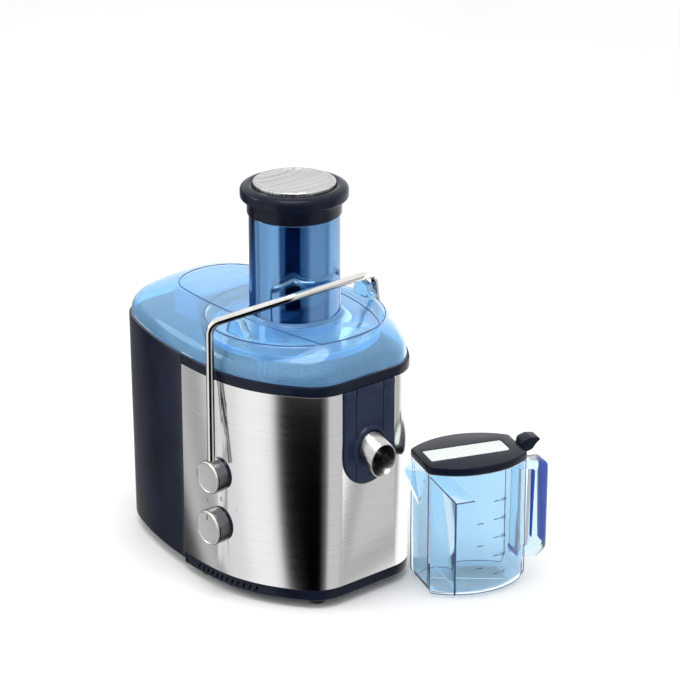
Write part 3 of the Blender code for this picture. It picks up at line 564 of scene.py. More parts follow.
# %% Arched panel with grooves
TILT = math.radians(24)
SPOUT_AXIS = Vector((math.cos(TILT), 0, -math.sin(TILT)))
ROOT = Vector((FACE_X, 0, 147.0))


def along_spout(distance):
    return ROOT + SPOUT_AXIS * distance


panel_edge = soften([(30, STEEL_TOP), (-30, STEEL_TOP), *arch(30, 111.5)[2:]], True)
panel = softened(pushed("panel", panel_edge, 97.5, 101.3), 0.8)
moved(panel, ALONG_X)
for side in (-1, 1):
    joined(panel, block("groove", (100.6, side * 16 - 0.45, 60), (110, side * 16 + 0.45, 260)))
joined(panel, bar("panel_hole", along_spout(-30), along_spout(30), 15.4, 64))
done(panel, "spout_panel", "base", navy_plastic, "spout_apron", slot="navy")
lips = [block("lip", (100.4, a, STEEL_TOP - 7), (102.0, b, STEEL_TOP - 0.4))
        for a, b in ((-29.6, -16.6), (-15.4, 15.4), (16.6, 29.6))]
take(*lips)
bpy.ops.object.join()
done(softened(bpy.context.object, 0.7, 3), "spout_panel_lips", "base", navy_plastic, slot="navy")

# %% Slanted steel tube
SPOUT_REACH, MOUTH_TURN = 21.5, 0.05
take()
bpy.ops.mesh.primitive_cylinder_add(vertices=96, radius=15 * MM, depth=60 * MM, end_fill_type="NOTHING")
tube = bpy.context.object
tilted = SPOUT_AXIS.to_track_quat("Z", "Y").to_matrix().to_4x4()
tube.matrix_world = Matrix.Translation(along_spout(10) * MM) @ tilted
moved(tube, Matrix.Identity(4))
edit(tube)
bpy.ops.mesh.bisect(plane_co=along_spout(SPOUT_REACH) * MM,
                    plane_no=(math.cos(MOUTH_TURN), 0, -math.sin(MOUTH_TURN)), clear_outer=True)
bpy.ops.mesh.select_all(action="SELECT")
bpy.ops.mesh.bisect(plane_co=(97.7 * MM, 0, 0), plane_no=(1, 0, 0), clear_inner=True)
take(tube)
wall = tube.modifiers.new("wall", "SOLIDIFY")
wall.thickness, wall.offset = 1.3 * MM, -1
done(softened(applied(tube), 0.4, 3), "steel_spout", "base", spout_steel, "spout_tube", slot="steel")

boss = turned("boss", [(15.2, 3), (17.6, 3, 0.8), (19, 0.2), (15.2, 0.2)], closed=True)
moved(boss, Matrix.Translation((101.1 * MM, 0, 146.4 * MM)) @ Matrix.Rotation(math.radians(90), 4, "Y")
      @ Matrix.Scale(1.09, 4, (1, 0, 0)))
done(boss, "spout_boss", "base", navy_plastic, slot="navy")

# %% [markdown]
# ## Pulp bin
#
# The bin is a deep crescent tub with glossy dark walls that draw in a little towards the
# table. Its top face is inset to leave the wall, and pushed down to make the hollow.

# %% Crescent tub
BIN_CENTRE, BIN_DRAW = (-120.0, 0.0), 0.972


def bin_ring(distance, level):
    scale = BIN_DRAW + (1 - BIN_DRAW) * (level - BAND_LOW) / (BIN_TOP - BAND_LOW)
    return [(BIN_CENTRE[0] + (x - BIN_CENTRE[0]) * scale, y * scale) for x, y in bin_plan(distance)], level


tub = stacked("tub", [bin_ring(5, BAND_LOW), bin_ring(2.2, BAND_LOW + 0.6), bin_ring(0.6, BAND_LOW + 2.2),
                      bin_ring(0, BAND_LOW + 5), bin_ring(0, BIN_TOP - 6), bin_ring(0, BIN_TOP)])
joined(tub, stacked("tub_hollow", [bin_ring(5, BAND_LOW + 3), bin_ring(2.4, BAND_LOW + 7),
                                   bin_ring(2.4, BIN_TOP + 8)]))
done(softened(tub, 0.5, 3, 50), "pulp_tub", "bin", bin_plastic, "pulp_bin", slot="black")

# %% [markdown]
# ## Clear blue lid
#
# The lid is one moulding: a skirt that follows the body, a nearly flat top with a crisp
# edge, a round barrel over the basket and a tall chute. Its outside is two solids joined
# and its hollow is the same two a wall smaller, because clear plastic only looks right
# with a true wall of even thickness. The chute is a spun tube of its own that also hangs
# down inside, so it can have a deeper tint. Fine dark beads along the crisp edges are
# painted shade: dark lines where light bends at a clear edge.

# %% Skirt and flat top
SKIRT_Z, TOP_Z, LID_WALL, BEARINGS = RIM_TOP + 0.3, 246.0, 2.4, 120


def top_plan():
    near = stretch((-118, -38), (-60, -50), (10, -46), (78, -36), steps=20)
    nose = stretch((78, -36), (84, -20), (84, 18), (77, 34), steps=10)
    far = stretch((77, 34), (40, 66), (-70, 76), (-124, 44), steps=20)
    end = stretch((-124, 44), (-152, 28), (-152, -24), (-118, -38), steps=16)
    return [*near[:-1], *nose[:-1], *far[:-1], *end[:-1]]


def by_bearing(loop):
    """The loop read at even bearings from the middle of the body."""
    middle = Vector((-30.0, 0.0))
    points = [Vector(p) - middle for p in loop]
    found = []
    for i in range(BEARINGS):
        turn = 2 * math.pi * (i + 0.5) / BEARINGS
        ray = Vector((math.cos(turn), math.sin(turn)))
        for a, b in zip(points, [*points[1:], points[0]]):
            side_a, side_b = ray.x * a.y - ray.y * a.x, ray.x * b.y - ray.y * b.x
            if side_a * side_b < 0:
                hit = a.lerp(b, side_a / (side_a - side_b))
                if hit.dot(ray) > 0:
                    found.append(hit + middle)
                    break
    return found


def drawn_in(share, bow=0.94):
    """How far the side has come in at this share of its height."""
    full = 1 - math.sqrt(1 - bow ** 2.6)
    return (1 - math.sqrt(1 - (bow * share) ** 2.6)) / full


def lid_form(name, distance, low):
    foot, top = by_bearing(inset(body_plan(), 2.2 + distance)), by_bearing(inset(top_plan(), distance))
    rings = [([tuple(p) for p in foot], low)]
    for i in range(1, 13):
        share = math.sin(math.pi / 2 * i / 12)
        ring = [tuple(f.lerp(t, drawn_in(share))) for f, t in zip(foot, top)]
        rings.append((ring, SKIRT_Z + (TOP_Z - distance - SKIRT_Z) * share))
    return stacked(name, rings)


shell = lid_form("shell", 0.0, SKIRT_Z)
barrel = [(0, TOP_Z), (79, TOP_Z - 0.2, 6), (83.2, TOP_Z - 2.4, 0.6), (86.4, 237, 14), (88.8, 226, 20),
          (89.4, SKIRT_Z), (0, SKIRT_Z)]
joined(shell, turned("barrel", barrel, 128), how="UNION")
flare = [(0, 262), (41, 262), (41, TOP_Z, 8), (52, TOP_Z - 0.1), (52, TOP_Z - 2), (0, TOP_Z - 2)]
joined(shell, turned("flare", flare, 96), how="UNION")

# %% Hollow, chute and throat
hollow = [(0, TOP_Z - 2.4), (78.5, TOP_Z - 2.5, 6), (81, TOP_Z - 4.4, 0.6), (84, 235.6, 14),
          (86.4, 226, 20), (87, SKIRT_Z - 6), (0, SKIRT_Z - 6)]
joined(shell, lid_form("shell_hollow", LID_WALL, SKIRT_Z - 6), turned("barrel_hollow", hollow, 128))
joined(shell, turned("chute_well", [(0, 300), (41.3, 300), (41.3, 150), (0, 150)], 128))
CHUTE_IN = 38.4
chute = [(CHUTE_IN, CHUTE_TOP, 0.8), (41.0, CHUTE_TOP, 0.8), (41.05, 184.5, 1), (CHUTE_IN, 184.5, 1)]
done(turned("chute", chute, 128, closed=True), "feed_chute", "lid", chute_blue, slot="clear_blue")
done(shell, "clear_lid", "lid", lid_blue, "juicer_lid", slot="clear_blue", smooth=28)

# %% Painted shade: dark beads along the crisp edges of the top
def painted_shade_bead(name, points, radius, finish_now, body="lid", place=AXIS, closed=True):
    """A fine round bead along a line, in millimetres from its own start: a dark line of painted shade where a
    clear edge bends the light.
    """
    made = thickened([[v * MM for v in spot] for spot in points], radius, 2, closed)
    done(made, name, body, finish_now, place=place, slot="clear_blue", smooth=60)


painted_shade_bead("plateau_edge", [(x, y, TOP_Z + 0.1) for x, y in inset(top_plan(), 0.6)], 0.55, edge_blue)
painted_shade_bead("barrel_edge", [(81.6 * math.cos(math.radians(3 * i)), 81.6 * math.sin(math.radians(3 * i)), TOP_Z - 1.6)
                     for i in range(120)], 0.6, edge_blue)

# %% Catches for the arm, and ribs inside the skirt
for side, word in ((-1, "front"), (1, "rear")):
    outline = [(-9, 245.4), (17, 245.4, 1), (19, 249, 2), (13.5, 253, 3), (10.5, 258.5, 2), (4, 259.6, 2),
               (1.5, 264, 1.5), (-4, 264, 1.5)]
    lug = softened(pushed("lug", soften(outline, True), -4, 4), 0.9, 3)
    moved(lug, Matrix(((1, 0, 0, 6 * MM), (0, 0, -1, side * 74.5 * MM), (0, 1, 0, 0), (0, 0, 0, 1))))
    tidy(lug)
    done(lug, "lid_hook_" + word, "lid", lid_blue, "lid_catch_" + word, slot="clear_blue")
ribs = []
for i in range(4):
    rib = block("rib", (83.5, -0.5, SKIRT_Z + 1), (86, 0.5, 238))
    ribs.append(moved(rib, Matrix.Rotation(math.radians(-62 + 3.4 * i), 4, "Z")))
take(*ribs)
bpy.ops.object.join()
done(softened(bpy.context.object, 0.25, 2), "lid_ribs", "lid", lid_blue, slot="clear_blue")

# %% [markdown]
# ## Pusher
#
# A dark blue tube slides in the chute. Its head is a glossy ring, wider than the chute,
# around a shallow dish of spun steel.

# %% Tube, head and steel dish
tube = [(0, 188.2), (35.2, 188.2, 2), (35.2, 351.8), (37.3, 351.8), (37.3, 186, 3), (0, 186)]
done(turned("tube", tube), "pusher_sleeve", "pusher", deep_blue, "pusher_tube", slot="deep_blue")
head = [(39.2, CHUTE_TOP + 0.3), (42.6, CHUTE_TOP + 0.3, 0.8), (42.6, 351, 0.6), (44.2, 352, 0.6),
        (44.4, 354.2, 0.5), (48.7, 355.4, 5), (48.7, 365.5, 6), (42, 367.6, 3), (38, 366.6, 0.5),
        (37.8, 362.3), (30, 362.3), (30, 352.3), (39.2, 352.3)]
done(turned("head", head, closed=True), "pusher_ring", "pusher", black_gloss, "pusher_head", slot="black")
dish = [(0, 367.4), (22, 367.9, 20), (31.5, 369.4, 3), (34.6, CAP_TOP, 1), (37.2, 369.8, 0.8),
        (37.3, 362.6), (0, 362.6)]
done(turned("dish", dish), "pusher_dish", "pusher", disc_steel, "pusher_cap", slot="steel")

# %% [markdown]
# ## Locking arm
#
# One steel rod is bent round the machine: up both flanks, in over the shoulders, and
# straight across in front of the chute. A curve with a round bevel follows its corners,
# each softened by the radius the rod was bent to.

# %% Bent rod
ARM_Y, ROD_R, BEND = 106.5, 3.6, 13.0


def bent(points, radius, steps=10):
    points = [Vector(p) for p in points]
    path = [points[0]]
    for before, corner, after in zip(points, points[1:], points[2:]):
        a, b = (before - corner).normalized(), (after - corner).normalized()
        reach = radius / math.tan(a.angle(b) / 2)
        path += interpolate_bezier(corner + a * reach, corner + a * reach * 0.45,
                                   corner + b * reach * 0.45, corner + b * reach, steps)
    return [*path, points[-1]]


front = [(PIVOT_X, -ARM_Y, PIVOT_Z + 7), (-2, -97.5, 258), (46.5, -42, 283)]
path = bent([*front, *((x, -y, z) for x, y, z in reversed(front))], BEND)
rod = thickened([place * MM for place in path], ROD_R, 8)
done(rod, "arm_rod", "locking_arm_assembly", polished_steel, "locking_arm", slot="polished", smooth=60)

# %% [markdown]
# ## Knobs and end caps
#
# The arm's caps and the speed knob are the same turned shape: a brushed face, a bright
# chamfer, a dark side and a black collar against the steel.

# %% Turn the caps
dark_side = grain(finish("knob_side_steel", (0.16, 0.16, 0.17), 0.3, 1.0),
                  (40, 1200, 40), 0.05, (0.22, 0.36), ((0.13, 0.13, 0.14), (0.20, 0.20, 0.21)))
COLLAR_OUT, COLLAR_IN = 99.1, 95.4


def knob(name, radius, far, z, facing, body, face_node, collar_node):
    place = AXIS @ Matrix.Translation((PIVOT_X * MM, 0, z * MM)) @ facing
    side = [(0, far - 3), (radius - 2.4, far - 3), (radius - 1.2, far - 1.2, 0.4), (radius, far - 2.6, 0.5),
            (radius, 99.4, 0.6), (0, 99.4)]
    done(turned("side", side), name + "_side", body, dark_side, face_node, place=place, slot="steel")
    face = [(0, far - 0.5), (radius - 2.6, far - 0.5, 0.3), (radius - 2.0, far, 0.3),
            (radius - 0.9, far - 0.1, 0.5), (radius - 0.5, far - 1.6, 0.4), (radius - 1.6, far - 2.4),
            (0, far - 2.4)]
    done(turned("face", face), name + "_face", body, brushed_cap, place=place, slot="steel")
    collar = [(0, COLLAR_OUT), (radius - 1.0, COLLAR_OUT, 0.5), (radius - 0.6, COLLAR_IN), (0, COLLAR_IN)]
    done(turned("collar", collar), name + "_ring", body, black_gloss, collar_node, place=place, slot="black")


knob("front_cap", 15.5, 112.5, PIVOT_Z, FACING_FRONT, "locking_arm_assembly", "arm_cap_front",
     "arm_collar_front")
knob("rear_cap", 15.5, 112.5, PIVOT_Z, FACING_REAR, "locking_arm_assembly", "arm_cap_rear", "arm_collar_rear")
knob("dial", 16.5, 113.0, KNOB_Z, FACING_FRONT, "speed_control", "speed_knob", "knob_collar")
pointer = softened(block("pointer", (-0.7, -112.75, 8.2), (0.7, -112.2, 13.0)), 0.15, 2)
moved(pointer, Matrix.Translation((PIVOT_X * MM, 0, KNOB_Z * MM)))
done(pointer, "dial_pointer", "speed_control", ink, slot="black")

# %% Marks printed round the dial
def figure(text, size):
    """Raised figures, centred on their own middle."""
    take()
    bpy.ops.object.text_add()
    data = bpy.context.object.data
    data.body, data.size, data.extrude = text, size * MM, 0.06 * MM
    data.align_x, data.align_y = "CENTER", "CENTER"
    bpy.ops.object.convert(target="MESH")
    return bpy.context.object


def printed(text, x, z):
    """A figure on the flank, standing a hair proud of the steel."""
    flank = min(body_plan(), key=lambda p: (p[0] - x) ** 2 + (p[1] + 100) ** 2 / 900)
    return moved(figure(text, 6.0), Matrix.Translation((x * MM, flank[1] * MM, z * MM)) @ FACING_FRONT)


marks = [printed("0", PIVOT_X - 2, KNOB_Z + 22), printed("1", PIVOT_X - 21, KNOB_Z + 15),
         printed("2", PIVOT_X + 15, KNOB_Z + 17)]
for word, mark in zip(("off", "one", "two"), marks):
    done(mark, "dial_figure_" + word, "base", ink, slot="black")

# %% [markdown]
# ## Basket inside the lid
#
# Through the clear lid shows the spinning basket: a conical sieve of fine steel mesh
# between a clear rim and a dark base, and a grating disc with rings of small teeth.

# %% Sieve, rim and grating disc
sieve_steel = finish("sieve_steel", (0.62, 0.62, 0.62), 0.28, 1.0)
nodes, links = sieve_steel.node_tree.nodes, sieve_steel.node_tree.links
where, holes_pattern = nodes.new("ShaderNodeTexCoord"), nodes.new("ShaderNodeTexVoronoi")
holes_pattern.inputs["Scale"].default_value = 420.0
hole_edge = nodes.new("ShaderNodeValToRGB")
hole_edge.color_ramp.elements[0].position, hole_edge.color_ramp.elements[1].position = 0.22, 0.32
hole_edge.color_ramp.elements[0].color = (0.02, 0.02, 0.025, 1)
hole_edge.color_ramp.elements[1].color = (0.66, 0.66, 0.66, 1)
links.new(where.outputs["Object"], holes_pattern.inputs["Vector"])
links.new(holes_pattern.outputs["Distance"], hole_edge.inputs["Fac"])
links.new(hole_edge.outputs["Color"], nodes["Principled BSDF"].inputs["Base Color"])

sieve = [(71.7, 226), (41.4, 172, 1), (40.4, 172), (70.7, 226)]
sieve_cone = turned("sieve", sieve, 128, closed=True)
done(sieve_cone, "sieve_cone", "rotor", sieve_steel, "basket_sieve", slot="polished")
ring = [(74, 233, 0.8), (77, 232, 1), (77, 227, 1), (74, 226.3, 0.5), (70, 226.3), (70, 229, 0.5), (73, 230, 1)]
clear_rim = turned("ring", ring, 128, closed=True)
done(clear_rim, "basket_clear_rim", "rotor", lid_blue, "basket_rim", slot="clear_blue")
grater = turned("grater", [(0, 176, 1), (6, 174.8, 2), (9, 173.6, 2), (35.9, 173.6, 0.4), (35.9, 172),
                           (0, 172)], 96)
done(grater, "grating_disc", "rotor", polished_steel, "cutter_disc", slot="polished")
teeth = []
for ring_no, (radius, count) in enumerate(((14, 14), (20, 20), (26, 26), (32, 32))):
    for i in range(count):
        take()
        bpy.ops.mesh.primitive_cone_add(vertices=4, radius1=0.9 * MM, radius2=0.1 * MM, depth=1.5 * MM)
        tooth = bpy.context.object
        turn = 2 * math.pi * (i + 0.5 * (ring_no % 2)) / count
        tooth.location = (radius * math.cos(turn) * MM, radius * math.sin(turn) * MM, 174.3 * MM)
        tooth.rotation_euler = (0, 0, turn)
        tooth.scale = (1, 0.45, 1)
        teeth.append(tooth)
take(*teeth)
bpy.ops.object.join()
done(moved(bpy.context.object, Matrix.Identity(4)), "grating_teeth", "rotor", polished_steel, slot="polished")

# %% [markdown]
# ## Jug
#
# The jug is a clear blue moulding with two flat ends and two bowed sides, a folded
# pouring lip and a squared handle, and an upright wall inside with a shelf at its top
# that holds back froth. It is drawn in its own directions: u from the lip to the handle,
# v across. Each figure on its side is what it holds up to that dash, in millilitres.

# %% Body with rounded foot
U_LONG, V_WIDE, BOW, V_MID = 95.0, 42.0, 17.5, -21.0


def jug_plan(distance, steps=22):
    sweep = 2 * math.atan(2 * BOW / U_LONG)
    radius = U_LONG / (2 * math.sin(sweep))
    arc = [(U_LONG / 2 + radius * math.sin(a), radius * (math.cos(a) - math.cos(sweep)))
           for a in (-sweep + 2 * sweep * i / steps for i in range(steps + 1))]
    return inset([*((u, -V_WIDE - h) for u, h in arc), *((u, h) for u, h in reversed(arc))], distance)


def jug_form(name, wall, low, top, foot=11.0, taper=1.6):
    rings = []
    for i in range(9):
        turn = math.pi / 2 * i / 8
        rings.append((jug_plan(wall + taper + foot * (1 - math.sin(turn))),
                      low + foot * (1 - math.cos(turn))))
    return stacked(name, [*rings, (jug_plan(wall), top)])


body = jug_form("body", 0.0, 0.0, JUG_TOP)
beak_out = [(6, V_MID - 15), (0, V_MID - 15), (-17, V_MID), (0, V_MID + 15), (6, V_MID + 15)]
beak_in = [(9, V_MID - 12.4), (0, V_MID - 12.4), (-13.8, V_MID), (0, V_MID + 12.4), (9, V_MID + 12.4)]


def beak(name, top_ring, low, high, keel):
    """A pouring lip: its outline at the top, closing to a keel below."""
    shut = [(max(u, -1.0) if u > -5 else -1.0, V_MID + (v - V_MID) * 0.05) for u, v in top_ring]
    mid = [(u if u > -5 else u * 0.97, v) for u, v in top_ring]
    return stacked(name, [(shut, keel), (mid, low), (top_ring, high)])


joined(body, beak("lip", beak_out, JUG_TOP - 5, JUG_TOP, 84), how="UNION")
joined(body, jug_form("jug_hollow", 2.2, 2.4, JUG_TOP + 20, 9.0),
       beak("lip_hollow", beak_in, JUG_TOP - 4, JUG_TOP + 9, 90))
HANDLE_TOP = JUG_TOP - 9
UPRIGHT = Matrix(((1, 0, 0, 0), (0, 0, -1, V_MID * MM), (0, 1, 0, 0), (0, 0, 0, 1)))
handle = [(U_LONG - 4, 17), (U_LONG + 18, 17, 4), (U_LONG + 27.4, 25, 9), (U_LONG + 28, HANDLE_TOP - 1, 7),
          (U_LONG - 4, HANDLE_TOP + 2)]
grip = [(U_LONG + 2.2, 22.5, 1), (U_LONG + 12.6, 24, 4), (U_LONG + 14.4, HANDLE_TOP - 8, 3),
        (U_LONG + 2.2, HANDLE_TOP - 6.5, 1)]
hold = joined(pushed("hold", soften(handle, True), -8, 8), pushed("grip", soften(grip, True), -30, 30))
moved(softened(hold, 1.4, 3), UPRIGHT)
tidy(hold)
joined(hold, jug_form("hold_keep", 0.8, 0.2, JUG_TOP + 5))
done(hold, "jug_handle_clear", "jug", jug_blue, place=JUG, slot="clear_blue")
done(body, "jug_clear_body", "jug", jug_blue, "jug_body", place=JUG, slot="clear_blue", smooth=30)

# %% Handle spine, foot bracket, froth wall and measuring marks
spine = [(U_LONG + 22.5, 32, 3), (U_LONG + 26.6, 29, 3), (U_LONG + 27.2, HANDLE_TOP - 3, 3),
         (U_LONG + 21.5, HANDLE_TOP - 2.2, 1)]
spine_piece = tidy(moved(softened(pushed("spine", soften(spine, True), -7.0, 7.0), 1.0, 3), UPRIGHT))
done(spine_piece, "jug_handle_spine", "jug", spine_blue, place=JUG, slot="deep_blue")
foot_bar = softened(block("foot_bar", (U_LONG - 2.2, V_MID - 10, 22), (U_LONG - 0.4, V_MID + 10, 27)), 0.5, 2)
done(foot_bar, "jug_handle_foot", "jug", spine_blue, place=JUG, slot="deep_blue")
wall_piece = softened(block("froth_wall", (22, -V_WIDE - 10.2, 12), (23.6, 10.2, 94)), 0.4, 2)
done(wall_piece, "froth_wall", "jug", inner_clear, "froth_separator", place=JUG, slot="clear_blue")
shelf = softened(block("shelf", (23.8, -V_WIDE - 10.0, 93.0), (41.0, 10.0, 94.4)), 0.4, 2)
done(shelf, "froth_shelf", "jug", inner_clear, place=JUG, slot="clear_blue")
# Dark bars along the froth wall's end and top and the shelf's end: painted shade, dark lines where light bends
# at the clear edges.
edges = [block("edge", (21.9, -V_WIDE - 10.6, 3.0), (23.7, -V_WIDE - 9.6, 94.6)),
         block("edge", (22.2, -V_WIDE - 9.6, 94.1), (23.4, 10.0, 95.0)),
         block("edge", (23.7, -V_WIDE - 10.6, 93.4), (41.0, -V_WIDE - 9.9, 94.6))]
take(*edges)
bpy.ops.object.join()
done(softened(bpy.context.object, 0.25, 2), "froth_wall_painted_edge", "jug", edge_blue, place=JUG, slot="clear_blue")


def edge_line(side):
    """Down one upright corner of the jug, along its foot and up the next."""
    lines = []
    for distance in (4.6, 0.3):
        plan = jug_plan(distance)
        half = len(plan) // 2
        lines.append(plan[:half] if side < 0 else plan[half:])
    foot, wall = lines
    lip = JUG_TOP - 1
    return [(*wall[0], lip), (*wall[0], 12), *((u, v, 3.0) for u, v in foot), (*wall[-1], 12), (*wall[-1], lip)]


# Dark beads down the jug's upright corners and along its foot: painted shade, dark lines where light bends at
# the clear edges.
for side, word in ((-1, "away"), (1, "near")):
    painted_shade_bead("jug_edge_" + word, edge_line(side), 0.45, edge_blue, "jug", JUG, closed=False)


def side_point(u, proud=0.05):
    """A place on the bowed side away from the juicer."""
    sweep = 2 * math.atan(2 * BOW / U_LONG)
    radius = U_LONG / (2 * math.sin(sweep))
    turn = math.asin((u - U_LONG / 2) / radius)
    return Vector((u, -V_WIDE - radius * (math.cos(turn) - math.cos(sweep)) - proud, 0)), turn


def on_side(u, level):
    spot, turn = side_point(u)
    return Matrix.Translation((spot + Vector((0, 0, level))) * MM) @ Matrix.Rotation(turn, 4, "Z")


FILL_LEVELS = {"500": 94, "400": 76, "300": 58, "200": 40, "100": 22}
dashes = []
for u, levels in ((44, (30, 52, 74)), (60, sorted(FILL_LEVELS.values()))):
    for level in levels:
        dash = block("dash", (-3.0, -0.08, -0.3), (3.0, 0.3, 0.3))
        dashes.append(moved(dash, on_side(u, level)))
figures = [moved(figure(text, 4.2), on_side(67, level) @ FACING_FRONT) for text, level in FILL_LEVELS.items()]
take(*figures, *dashes)
bpy.ops.object.join()
done(bpy.context.object, "jug_scale_marks", "jug", ink, place=JUG, slot="black")

# %% Jug lid with its pale strip and thumb lever
cover_edge = soften([(u, v, 2) if u in (0, U_LONG) else (u, v) for u, v in jug_plan(-0.6)], True)
cover = pushed("cover", cover_edge, JUG_TOP + 0.3, JUG_LID_TOP)
softened(cover, 1.4, 3)
joined(cover, pushed("cover_hollow", jug_plan(2.2), JUG_TOP - 1, JUG_LID_TOP - 2.6))
strip = [(6, V_MID - 12.5, 0.6), (84, V_MID - 12.5, 4), (84, V_MID + 12.5, 4), (6, V_MID + 12.5, 0.6)]
joined(cover, pushed("strip_seat", soften(strip, True), JUG_LID_TOP - 0.9, JUG_LID_TOP + 4))
done(cover, "jug_black_lid", "jug_cover", black_gloss, "jug_lid", place=JUG, slot="black")
strip_in = [(7, V_MID - 11.6, 0.5), (83, V_MID - 11.6, 3), (83, V_MID + 11.6, 3), (7, V_MID + 11.6, 0.5)]
strip_piece = softened(pushed("strip", soften(strip_in, True), JUG_LID_TOP - 0.9, JUG_LID_TOP - 0.1), 0.2, 2)
done(strip_piece, "jug_lid_strip", "jug_cover", pale_insert, "jug_lid_insert", place=JUG, slot="pale")
horn = [(1, -7, 1), (4, -7.6, 1), (12, -5, 5), (15.5, 0, 3), (19.5, 3.6, 0.8), (18, 5.6, 1.2),
        (10, 6.8, 7), (2.5, 4.5, 4), (1, -0.6, 1)]
horn_edge = soften([(U_LONG + u, JUG_LID_TOP + z, r) for u, z, r in horn], True)
lever = tidy(moved(softened(pushed("lever", horn_edge, -7.5, 7.5), 2.2, 4), UPRIGHT))
done(lever, "jug_thumb_horn", "jug_cover", black_gloss, "thumb_lever", place=JUG, slot="black")

# %% [markdown]
# ## Studio
#
# A pale floor stands in a bright white surround. Steel has no look of its own, so the
# soft dark bands on it come from a surround that is shaded by compass bearing.

# %% Floor
take()
bpy.ops.mesh.primitive_plane_add(size=16)
floor = bpy.context.object
floor.name = "studio_floor"
floor.data.materials.append(grain(finish("studio_floor", (0.90, 0.90, 0.90), 0.6),
                                  (3, 3, 3), 0.0, (0.55, 0.65),
                                  ((0.89, 0.89, 0.89), (0.92, 0.92, 0.92))))

# %% [markdown]
# ## What the steel mirrors
#
# Upright polished walls seen from above mirror what lies low round the machine. A real
# studio puts grey and black cards there. Here the surround itself is banded below and
# white overhead, and the floor is hidden from reflections. One black card lies on the
# floor before the machine, and only rays that pass through clear plastic see it. The
# knobs, the lid and the jug are kept out of the steel, and the clear pieces cast no
# shadow: these are studio liberties, since real ones would do both.

# %% A surround banded by bearing
BANDS = ((-180, 0.14), (-168, 0.03), (-158, 0.08), (-152, 0.55), (-143, 0.38), (-136, 0.74),
         (-118, 0.80), (-95, 1.0), (-86, 0.95), (-78, 0.20), (-72, 0.0), (-28, 0.0), (-18, 0.05),
         (-6, 0.24), (6, 0.62), (38, 0.60), (46, 0.46), (56, 0.85), (75, 1.2), (130, 1.1),
         (160, 0.35), (180, 0.14))
world = bpy.data.worlds.new("studio_surround")
bpy.context.scene.world = world
world.use_nodes = True
nodes, links = world.node_tree.nodes, world.node_tree.links
direction = nodes.new("ShaderNodeTexCoord")
parts = nodes.new("ShaderNodeSeparateXYZ")
bearing = nodes.new("ShaderNodeMath")
bearing.operation = "ARCTAN2"
turns = nodes.new("ShaderNodeMapRange")
turns.inputs["From Min"].default_value, turns.inputs["From Max"].default_value = -math.pi, math.pi
bands = nodes.new("ShaderNodeFloatCurve")
curve = bands.mapping.curves[0]
BRIGHTEST = 1.25
for end, (angle, level) in ((0, BANDS[0]), (-1, BANDS[-1])):
    curve.points[end].location = ((angle + 180) / 360, level / BRIGHTEST)
for angle, level in BANDS[1:-1]:
    curve.points.new((angle + 180) / 360, level / BRIGHTEST)
for point in curve.points:
    point.handle_type = "AUTO_CLAMPED"
bands.mapping.update()
lift = nodes.new("ShaderNodeMapRange")
lift.interpolation_type = "SMOOTHSTEP"
lift.inputs["From Min"].default_value, lift.inputs["From Max"].default_value = 0.02, 0.30
mixed = nodes.new("ShaderNodeMix")
mixed.inputs["B"].default_value = 0.80
links.new(direction.outputs["Generated"], parts.inputs["Vector"])
links.new(parts.outputs["Y"], bearing.inputs[0])
links.new(parts.outputs["X"], bearing.inputs[1])
links.new(bearing.outputs["Value"], turns.inputs["Value"])
links.new(turns.outputs["Result"], bands.inputs["Value"])
links.new(parts.outputs["Z"], lift.inputs["Value"])
links.new(lift.outputs["Result"], mixed.inputs["Factor"])
links.new(bands.outputs["Value"], mixed.inputs["A"])
links.new(mixed.outputs["Result"], nodes["Background"].inputs["Color"])
nodes["Background"].inputs["Strength"].default_value = BRIGHTEST
floor.visible_glossy = False

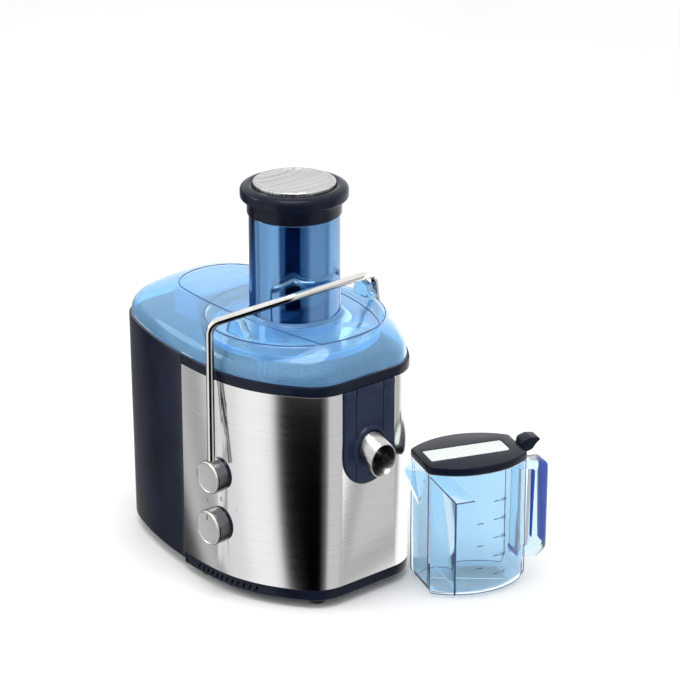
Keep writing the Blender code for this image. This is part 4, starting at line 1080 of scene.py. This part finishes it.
# %% A black card before the chute, and no near things mirrored in the steel
CARD_NEAR, CARD_FAR = 450, 1300
bearings = [math.radians(-66 + 4 * i) for i in range(11)]
card = pushed("black_card", [(CARD_NEAR * math.cos(a), CARD_NEAR * math.sin(a)) for a in bearings]
              + [(CARD_FAR * math.cos(a), CARD_FAR * math.sin(a)) for a in reversed(bearings)], 1, 3)
moved(card, AXIS)
card.data.materials.append(finish("black_card", (0.0, 0.0, 0.0), 1.0, Specular_IOR_Level=0.0))
card.visible_camera = card.visible_diffuse = card.visible_shadow = card.visible_glossy = False
NOT_MIRRORED = ("jug_clear", "jug_handle", "jug_edge", "froth", "front_cap", "dial", "clear_lid",
                "lid_hook", "lid_ribs", "plateau_edge", "barrel_edge")
SHADOWLESS = ("jug_clear", "jug_handle", "froth", "clear_lid", "feed_chute", "lid_hook")
for thing in bpy.data.objects:
    if thing.name.startswith(NOT_MIRRORED):
        thing.visible_glossy = False
    if thing.name.startswith(SHADOWLESS):
        thing.visible_shadow = False

take()
bpy.ops.mesh.primitive_cylinder_add(vertices=96, radius=7.6, depth=9.0, end_fill_type="NOTHING")
sweep = bpy.context.object
sweep.name = "studio_sweep"
sweep.data.materials.append(finish("studio_sweep", (0.9, 0.9, 0.9), 0.9,
                                   Emission_Color=(1, 1, 1, 1), Emission_Strength=1.0))
sweep.visible_glossy = sweep.visible_diffuse = sweep.visible_shadow = False


# %% Two soft lamps
def lamp(name, place, target, size, power):
    take()
    bpy.ops.object.light_add(type="AREA", location=place)
    made = bpy.context.object
    made.name, made.data.shape, made.data.size, made.data.energy = name, "DISK", size, power
    made.rotation_euler = (Vector(target) - Vector(place)).to_track_quat("-Z", "Y").to_euler()
    return made


lamp("overhead_softbox", (0.2, -0.3, 1.9), (0, 0, 0.1), 1.2, 16)
lamp("left_softbox", (-1.2, -1.3, 1.0), (0, 0, 0.2), 0.7, 5)

# %% [markdown]
# ## Camera
#
# A long lens from well back keeps the upright edges nearly parallel.

# %% Long lens
bpy.ops.object.camera_add()
camera = bpy.context.object
camera.data.lens, camera.data.sensor_width = 162.4, 36.0
yaw, pitch = math.radians(48.60), math.radians(21.51)
look = Vector((-math.sin(yaw) * math.cos(pitch), math.cos(yaw) * math.cos(pitch), -math.sin(pitch)))
camera.location = AXIS.translation + Vector((1.9608, -1.6747, 1.2343))
camera.rotation_euler = look.to_track_quat("-Z", "Y").to_euler()
bpy.context.scene.camera = camera
bpy.context.scene.view_settings.view_transform = "Standard"
